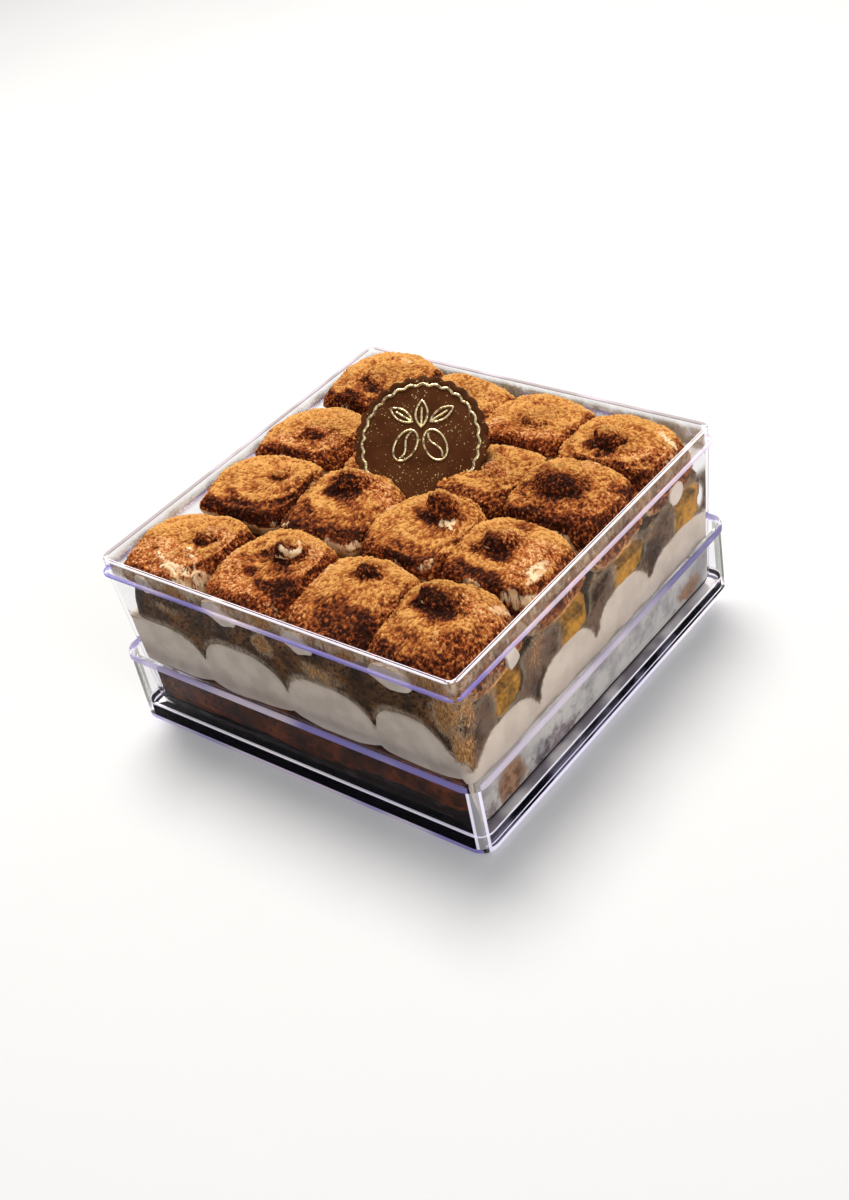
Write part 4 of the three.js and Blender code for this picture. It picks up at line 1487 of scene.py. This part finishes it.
def film_masks(shape):
    """What clings where: haze, cocoa dust, a milky grey veil that is a painted reflection, grey
    smudges that are partly painted shade, and soaked patches.
    """
    wall, along = wall_of(shape)
    z = shape[:, 2]
    side = wall == "side"
    haze, dust = np.zeros(len(shape)), np.zeros(len(shape))
    patch, murk = np.zeros(len(shape)), np.zeros(len(shape))
    # Painted reflection: a milky grey veil low on the side wall.
    painted_veil = side * (1 - smoothstep(z + 1.5 * wobble(shape, 6.0, 70), PAINTED_VEIL_TOP - 4, PAINTED_VEIL_TOP))
    for name, spread in HAZE.items():
        up = smoothstep(z, spread["from"], spread["from"] + 2.0)
        here = spread["below"] + (spread["neck"] - spread["below"]) * up
        haze = np.where(wall == name, here, haze)
    pale = ((wall == "back") | (wall == "left")).astype(float)
    haze *= 1 - pale * smoothstep(z, BOX_TOP - 2.2, BOX_TOP - 1.2)
    for mark in DUST_MARKS:
        off = off_middle(along, z, mark)
        here = mark["dust"] * (1 - smoothstep(off, 0.1, 1.5)) * (wall == mark["wall"])
        dust = np.maximum(dust, here)
    for values, spots in ((patch, SOAKED_PATCHES), (murk, MURKY_PATCHES)):
        for spot in spots:
            off = off_middle(along, z, spot)
            here = spot["share"] * (1 - smoothstep(off, 0.1, 1.3)) * side
            np.maximum(values, here, out=values)
    at_wall = np.full(len(shape), inside_half(UPPER_TOP))
    over = z - cream_surface(at_wall, along)[0]
    front_over = z - cream_surface(along, -at_wall)[0]
    halo = smoothstep(front_over, -0.3, 0.3) * (1 - smoothstep(front_over, 0.5, 2.6))
    halo *= 0.42 + 0.2 * wobble(shape, 6.0, 72)
    haze = np.where(wall == "front", np.maximum(haze, halo), haze)
    # Grey-brown smudges over the upper sponge, partly painted shade, leaving the golden ends clear.
    ragged = z + 1.6 * wobble(shape, 5.0, 71)
    below = 1 - smoothstep(ragged, SMUDGE_AND_SHADE_TOP - 4, SMUDGE_AND_SHADE_TOP)
    smudge_and_shade = side * smoothstep(over, -0.2, 0.9) * below
    for end in FINGER_ENDS:
        bright = smoothstep((along - end["at"][0]) / end["half"][0], -0.9, -0.35)
        smudge_and_shade *= 1 - bright * (1 - smoothstep(off_middle(along, z, end), 0.95, 1.15))
    return {
        "haze": haze, "dust": dust, "painted_veil": painted_veil, "smudge_and_shade": smudge_and_shade, "patch": patch, "murk": murk,
        "pale": pale,
    }


def film_finish():
    """Cocoa grains, a streaky haze and, on the side wall, a milky grey veil that is a painted
    reflection and grey-brown smudges that are partly painted shade.
    """
    material, tree, shader = new_finish("wall_dust")
    where = object_place(tree)
    streak = grain(tree, stretched(tree, where, (1.0, 1.0, 0.5)), 1.2, detail=4.0, roughness=0.65)
    cloud = grain(tree, where, 6.0, detail=4.0)
    mottle = grain(tree, where, 3.2, detail=5.0, roughness=0.68, curl=0.25)
    down = stretched(tree, where, (1.0, 1.0, 0.3))
    speck = grain(tree, down, 0.4, detail=3.0, roughness=0.75, curl=0.5)
    painted_veil, smudge_and_shade = mask(tree, "painted_veil"), mask(tree, "smudge_and_shade")
    both = plus(tree, times(tree, streak, 0.8), times(tree, cloud, 1.2))
    veil = times(tree, mask(tree, "haze"), fade(tree, both, 0.65, 1.3, 0.4, 1.25), True)
    smudge_and_shade_share = times(tree, smudge_and_shade, fade(tree, mottle, 0.3, 0.55, 0.5, 0.95))
    veil_share = times(tree, painted_veil, PAINTED_VEIL_SHARE)
    veil = calc(tree, "MAXIMUM", veil, calc(tree, "MAXIMUM", smudge_and_shade_share, veil_share))
    heap = plus(tree, times(tree, speck, 1.1), times(tree, cloud, 0.9))
    heap = plus(tree, times(tree, mask(tree, "dust"), 0.9), heap)
    heap = minus(tree, heap, 0.5)
    cling = fade(tree, heap, 0.78, 1.12)
    fibre = fade(tree, streak, 0.34, 0.66)
    tone = blended(tree, fibre, (0.33, 0.215, 0.125), (0.58, 0.47, 0.345))
    light = blended(tree, fibre, (0.44, 0.36, 0.24), (0.76, 0.67, 0.5))
    tone = blended(tree, mask(tree, "pale"), tone, light)
    # The painted reflection's colour, with murky patches and brown soaked stains in it.
    wide = grain(tree, where, 9.0, detail=3.0, roughness=0.55)
    veil_tone = blended(tree, fade(tree, wide, 0.36, 0.62), (0.32, 0.305, 0.3), (0.55, 0.53, 0.49))
    veil_tone = blended(tree, fade(tree, mottle, 0.5, 0.72, 0.0, 0.5), veil_tone, (0.2, 0.17, 0.18))
    brown = blended(tree, fade(tree, mottle, 0.36, 0.6), (0.13, 0.06, 0.032), (0.34, 0.19, 0.11))
    stain = times(tree, minus(tree, mottle, 0.5), 2.0)
    stain = plus(tree, mask(tree, "patch"), stain)
    murky = plus(tree, mask(tree, "murk"), times(tree, mottle, 2.0))
    dim = blended(tree, fade(tree, wide, 0.4, 0.6), (0.085, 0.062, 0.07), (0.22, 0.17, 0.18))
    veil_tone = blended(tree, fade(tree, murky, 1.2, 1.9), veil_tone, dim)
    veil_tone = blended(tree, fade(tree, stain, 0.25, 0.9), veil_tone, brown)
    # The smudges' colour, partly painted shade.
    grey = blended(tree, fade(tree, wide, 0.38, 0.6), (0.05, 0.026, 0.016), (0.165, 0.1, 0.066))
    grey = blended(tree, fade(tree, mottle, 0.45, 0.7, 0.0, 0.6), grey, (0.1, 0.085, 0.085))
    grey = blended(tree, fade(tree, speck, 0.6, 0.74), grey, (0.4, 0.33, 0.27))
    tone = blended(tree, smudge_and_shade, blended(tree, painted_veil, tone, veil_tone), grey)
    cocoa = ramped(tree, speck, [
        (0.32, (0.07, 0.025, 0.009)), (0.5, (0.28, 0.13, 0.045)), (0.7, (0.62, 0.4, 0.2)),
    ])
    set_sockets(tree, shader, {
        "Base Color": blended(tree, cling, tone, cocoa),
        "Roughness": fade(tree, cling, 0.0, 1.0, 0.7, 0.95),
        "Normal": bumped(tree, speck, 0.12),
        "Alpha": calc(tree, "MAXIMUM", veil, cling, True),
        "Specular IOR Level": 0.05,
    })
    return material


film_shape = film_shell()
film = made("wall_dust", film_shape, [film_finish()])
for name, values in film_masks(film_shape[0]).items():
    set_mask(film, name, values)


def turned(flat, degrees):
    """Flat points turned anticlockwise round their middle."""
    turn = math.radians(degrees)
    return flat @ np.array([[math.cos(turn), math.sin(turn)], [-math.sin(turn), math.cos(turn)]])


def smear_shape(smear, seed):
    """A flat drop of cream pressed on a wall: a squashed ball with an uneven outline."""
    points = []
    for ring in range(SMEAR_RINGS + 2):
        rise = ring / (SMEAR_RINGS + 1) * math.pi
        around = SMEAR_AROUND if 0 < ring <= SMEAR_RINGS else 1
        angle = np.linspace(0, 2 * math.pi, around, endpoint=False)
        flat = np.column_stack([np.cos(angle), np.sin(angle)]) * math.sin(rise) * smear["half"]
        height = np.full(around, SMEAR_THICK * math.cos(rise))
        points.append(np.column_stack([turned(flat, smear["tilt"]), height]))
    shape = np.concatenate(points)
    for depth, size, draw in ((0.8, 3.0, seed), (0.3, 1.1, seed + 2)):
        uneven = [wobble(shape, size, draw), wobble(shape, size, draw + 1)]
        shape[:, :2] += depth * np.column_stack(uneven)
    shape[:, :2] += smear["at"]
    out_x, out_y = WALL_WAY[smear["wall"]]
    out = inside_half(shape[:, 1]) - 0.2 + shape[:, 2]
    x = shape[:, 0] * abs(out_y) + out * out_x
    y = shape[:, 0] * abs(out_x) + out * out_y
    pressed = held_in(np.column_stack([x, y, shape[:, 1]]), FILM_REACH + FILM_THICK + 0.04)
    return pressed, capped_tube(SMEAR_RINGS, SMEAR_AROUND)


for index, smear in enumerate(CREAM_SMEARS):
    shape = smear_shape(smear, 60 + index)
    made(f"cream_smear_{index + 1}", shape, [mascarpone])


# ---- Chocolate seal ------------------------------------------------------------------------
# A fluted disc of milk chocolate stands in the valley behind the second row and leans back.
# It is moulded with a raised wavy line and two coffee beans, brushed with gold dust.
SEAL_RADIUS = 18.05
SEAL_SCALLOP = 0.9
SEAL_FLUTES = 28
SEAL_THICK = 3.0
SEAL_RIM = 1.6
SEAL_SUNK = 0.5
SEAL_PLACE = (-1.6, 11.0, 63.8)
SEAL_TURN = 24.9
SEAL_LEAN = 47.0
SEAL_STEPS = 12 * SEAL_FLUTES
seal_stand = (
    Matrix.Translation(Vector(SEAL_PLACE))
    @ Matrix.Rotation(math.radians(SEAL_TURN), 4, "Z")
    @ Matrix.Rotation(math.radians(90 - SEAL_LEAN), 4, "X")
)


def stood(points):
    """Takes points from the seal's own flat frame to where it stands."""
    return [tuple(seal_stand @ Vector(point)) for point in points]


def fluted(radius, depth):
    """A round line with one small wave for each flute of the seal."""
    angle = np.linspace(0, 2 * math.pi, SEAL_STEPS, endpoint=False)
    wave = np.sqrt(np.cos(SEAL_FLUTES / 2 * angle) ** 2 + 0.03)
    reach = radius + depth * wave
    return np.stack([reach * np.cos(angle), reach * np.sin(angle)], axis=1)


def seal_disc():
    """Rings from the middle of the back, round the edge, to the middle of the sunk face."""
    inner = SEAL_RADIUS - SEAL_RIM
    rings = [
        (SEAL_RADIUS - 0.5, -SEAL_THICK), (SEAL_RADIUS - 0.12, -SEAL_THICK + 0.15),
        (SEAL_RADIUS, -SEAL_THICK + 0.5), (SEAL_RADIUS, -0.5), (SEAL_RADIUS - 0.12, -0.15),
        (SEAL_RADIUS - 0.5, 0.0), (inner + 0.35, 0.0), (inner, -0.2), (inner - 0.25, -SEAL_SUNK),
        (SEAL_RADIUS - 6, -SEAL_SUNK), (SEAL_RADIUS - 12, -SEAL_SUNK),
    ]
    points = [(0.0, 0.0, -SEAL_THICK)]
    for radius, height in rings:
        depth = SEAL_SCALLOP * max(0.0, 1 - (SEAL_RADIUS - radius) / 6)
        points += [(x, y, height) for x, y in fluted(radius, depth)]
    points.append((0.0, 0.0, -SEAL_SUNK))
    return stood(points), capped_tube(len(rings), SEAL_STEPS)


def chocolate_finish():
    """Moulded milk chocolate with a dull gloss, bloom, fine scratches and gold specks."""
    material, tree, shader = new_finish("milk_chocolate")
    where = object_place(tree)
    bloom = grain(tree, where, 5.0, detail=4.0)
    fine = grain(tree, where, 0.5, detail=3.0)
    flakes = grain(tree, where, 0.55, detail=1.0, roughness=0.4)
    gold = fade(tree, plus(tree, flakes, times(tree, bloom, 0.25)), 0.83, 0.87)
    bloomed = fade(tree, bloom, 0.3, 0.7)
    brown = blended(tree, bloomed, (0.055, 0.0175, 0.006), (0.083, 0.0275, 0.0095))
    set_sockets(tree, shader, {
        "Base Color": blended(tree, gold, brown, (0.62, 0.5, 0.24)),
        "Metallic": times(tree, gold, 0.8),
        "Roughness": fade(tree, bloom, 0.3, 0.7, 0.32, 0.5),
        "Normal": bumped(tree, fine, 0.06),
        "Specular IOR Level": 0.03,
    })
    return material


def gold_finish():
    """Gold dust brushed on a raised chocolate line, worn through in places."""
    material, tree, shader = new_finish("gold_dust")
    where = object_place(tree)
    worn = fade(tree, grain(tree, where, 1.2, detail=4.0, roughness=0.7), 0.4, 0.52)
    fine = grain(tree, where, 0.3, detail=2.0)
    set_sockets(tree, shader, {
        "Base Color": blended(tree, worn, (0.16, 0.08, 0.035), (0.92, 0.8, 0.46)),
        "Metallic": worn,
        "Roughness": fade(tree, worn, 0.0, 1.0, 0.5, 0.3),
        "Normal": bumped(tree, fine, 0.1),
    })
    return material


made("chocolate_disc", seal_disc(), [chocolate_finish()], ["chocolate_seal"])


def bean_lines(x, y, long, wide, turn):
    """The outline of a coffee bean and the curved slit down its middle."""
    around = np.linspace(0, 2 * math.pi, 40, endpoint=False)
    outline = np.stack([long * np.cos(around), wide * np.sin(around)], axis=1)
    along = np.linspace(-0.86, 0.86, 16)
    slit = np.stack([long * along, 0.28 * wide * np.sin(along * math.pi)], axis=1)
    return [(turned(outline, turn) + (x, y), True), (turned(slit, turn) + (x, y), False)]


def leaf_lines(x, y, long, wide, turn):
    """A pointed leaf with its midrib."""
    along = np.linspace(0, 1, 14)
    side = wide * np.sin(along * math.pi) ** 0.8
    outline = np.concatenate([
        np.stack([long * along, side], axis=1), np.stack([long * along, -side], axis=1)[-2:0:-1],
    ])
    rib = np.stack([long * np.linspace(0.05, 0.75, 8), np.zeros(8)], axis=1)
    return [(turned(outline, turn) + (x, y), True), (turned(rib, turn) + (x, y), False)]


def raised_line_tree(material):
    """A round ridge along each line of a flat drawing."""
    tree, given, result = new_shape_tree("raised_line", Width=0.7)
    curve = add_node(tree, "GeometryNodeMeshToCurve", {"Mesh": given.outputs["Geometry"]})
    section = add_node(
        tree, "GeometryNodeCurvePrimitiveCircle",
        {"Resolution": 8, "Radius": times(tree, given.outputs["Width"], 0.5 * MM)},
    )
    ridge = add_node(
        tree, "GeometryNodeCurveToMesh",
        {"Curve": curve.outputs[0], "Profile Curve": section.outputs[0], "Fill Caps": True},
    )
    whole = add_node(tree, "GeometryNodeRealizeInstances", {"Geometry": ridge.outputs[0]})
    finished = add_node(
        tree, "GeometryNodeSetMaterial", {"Geometry": whole.outputs[0], "Material": material}
    )
    tree.links.new(finished.outputs[0], result.inputs[0])
    return tree


def drawn(name, lines, width):
    """A raised drawing on the seal's face, from (points, closed) lines in its flat frame."""
    points, edges = [], []
    for line, closed in lines:
        first = len(points)
        points += [(x, y, -SEAL_SUNK + 0.05) for x, y in line]
        edges += [(i, i + 1) for i in range(first, len(points) - 1)]
        if closed:
            edges.append((len(points) - 1, first))
    mesh = bpy.data.meshes.new(name)
    mesh.from_pydata([Vector(point) * MM for point in stood(points)], edges, [])
    piece = bpy.data.objects.new(name, mesh)
    bpy.context.scene.collection.objects.link(piece)
    grown(piece, line_tree, Width=width)
    soften(piece.data, 60)
    return registered(piece)


line_tree = raised_line_tree(gold_finish())
wave_line = fluted(SEAL_RADIUS - SEAL_RIM - 0.5, 0.7)
drawn("gold_wave", [(wave_line, True)], 0.9)
beans = bean_lines(-4.2, -0.5, 4.6, 3.0, 62) + bean_lines(4.2, -0.5, 4.6, 3.0, 118)
leaves = leaf_lines(0.0, 4.5, 7.5, 1.7, 90) + leaf_lines(-2.5, 6.0, 7.5, 1.5, 148)
leaves += leaf_lines(2.5, 6.0, 7.5, 1.5, 32)
drawn("gold_beans", beans + leaves, 0.65)


# ---- Room, lamps and camera ----------------------------------------------------------------
# The box stands on a pale seamless floor. A soft lamp behind it on the left lights the cocoa, and
# a weak wide lamp on the right fills the shade. The camera looks down at the near corner.
FLOOR_HALF = 3000.0
FLOOR_GLOW = 0.1
WARM_LAMP = (1.0, 0.95, 0.88)
PALE_LAMP = (1.0, 0.97, 0.95)
SKY = (1.0, 0.99, 0.98, 1.0)
SKY_STRENGTH = 0.38


def lamp(name, place, target, size, power, colour):
    light = bpy.data.lights.new(name, "AREA")
    light.shape = "DISK"
    light.size = size * MM
    light.energy = power
    light.color = colour
    holder = bpy.data.objects.new(name, light)
    holder.location = Vector(place) * MM
    holder.rotation_euler = (Vector(target) - Vector(place)).to_track_quat("-Z", "Y").to_euler()
    bpy.context.scene.collection.objects.link(holder)


def pale_floor():
    material, tree, shader = new_finish("pale_floor")
    where = object_place(tree)
    cloud = grain(tree, where, 60.0)
    set_sockets(tree, shader, {
        "Base Color": blended(tree, cloud, (0.56, 0.575, 0.595), (0.585, 0.6, 0.62)),
        "Roughness": fade(tree, cloud, 0.3, 0.7, 0.75, 0.85),
        "Emission Color": (1.0, 1.0, 1.0, 1.0),
        "Emission Strength": FLOOR_GLOW,
    })
    mesh = bpy.data.meshes.new("floor")
    corners = [(-1, -1, 0), (1, -1, 0), (1, 1, 0), (-1, 1, 0)]
    points = [Vector(corner) * FLOOR_HALF * MM for corner in corners]
    mesh.from_pydata(points, [], [(0, 1, 2, 3)])
    mesh.materials.append(material)
    floor = bpy.data.objects.new("floor", mesh)
    bpy.context.scene.collection.objects.link(floor)


pale_floor()
lamp("key", (-300, 270, 920), (0, 0, 50), 500, 12.9, WARM_LAMP)
lamp("fill", (1250, -150, 650), (0, 0, 40), 900, 7.0, PALE_LAMP)

world = bpy.data.worlds.new("pale_room")
bpy.context.scene.world = world
world.use_nodes = True
background = world.node_tree.nodes["Background"]
set_sockets(world.node_tree, background, {"Color": SKY, "Strength": SKY_STRENGTH})
bpy.context.scene.view_settings.view_transform = "Standard"

camera = bpy.data.objects.new("camera", bpy.data.cameras.new("camera"))
camera.data.lens = CAMERA_LENS
camera.data.sensor_width = CAMERA_SENSOR
camera.data.clip_start = 0.01
camera.location = CAMERA_PLACE * MM
camera.rotation_euler = camera_turn
bpy.context.scene.collection.objects.link(camera)
bpy.context.scene.camera = camera
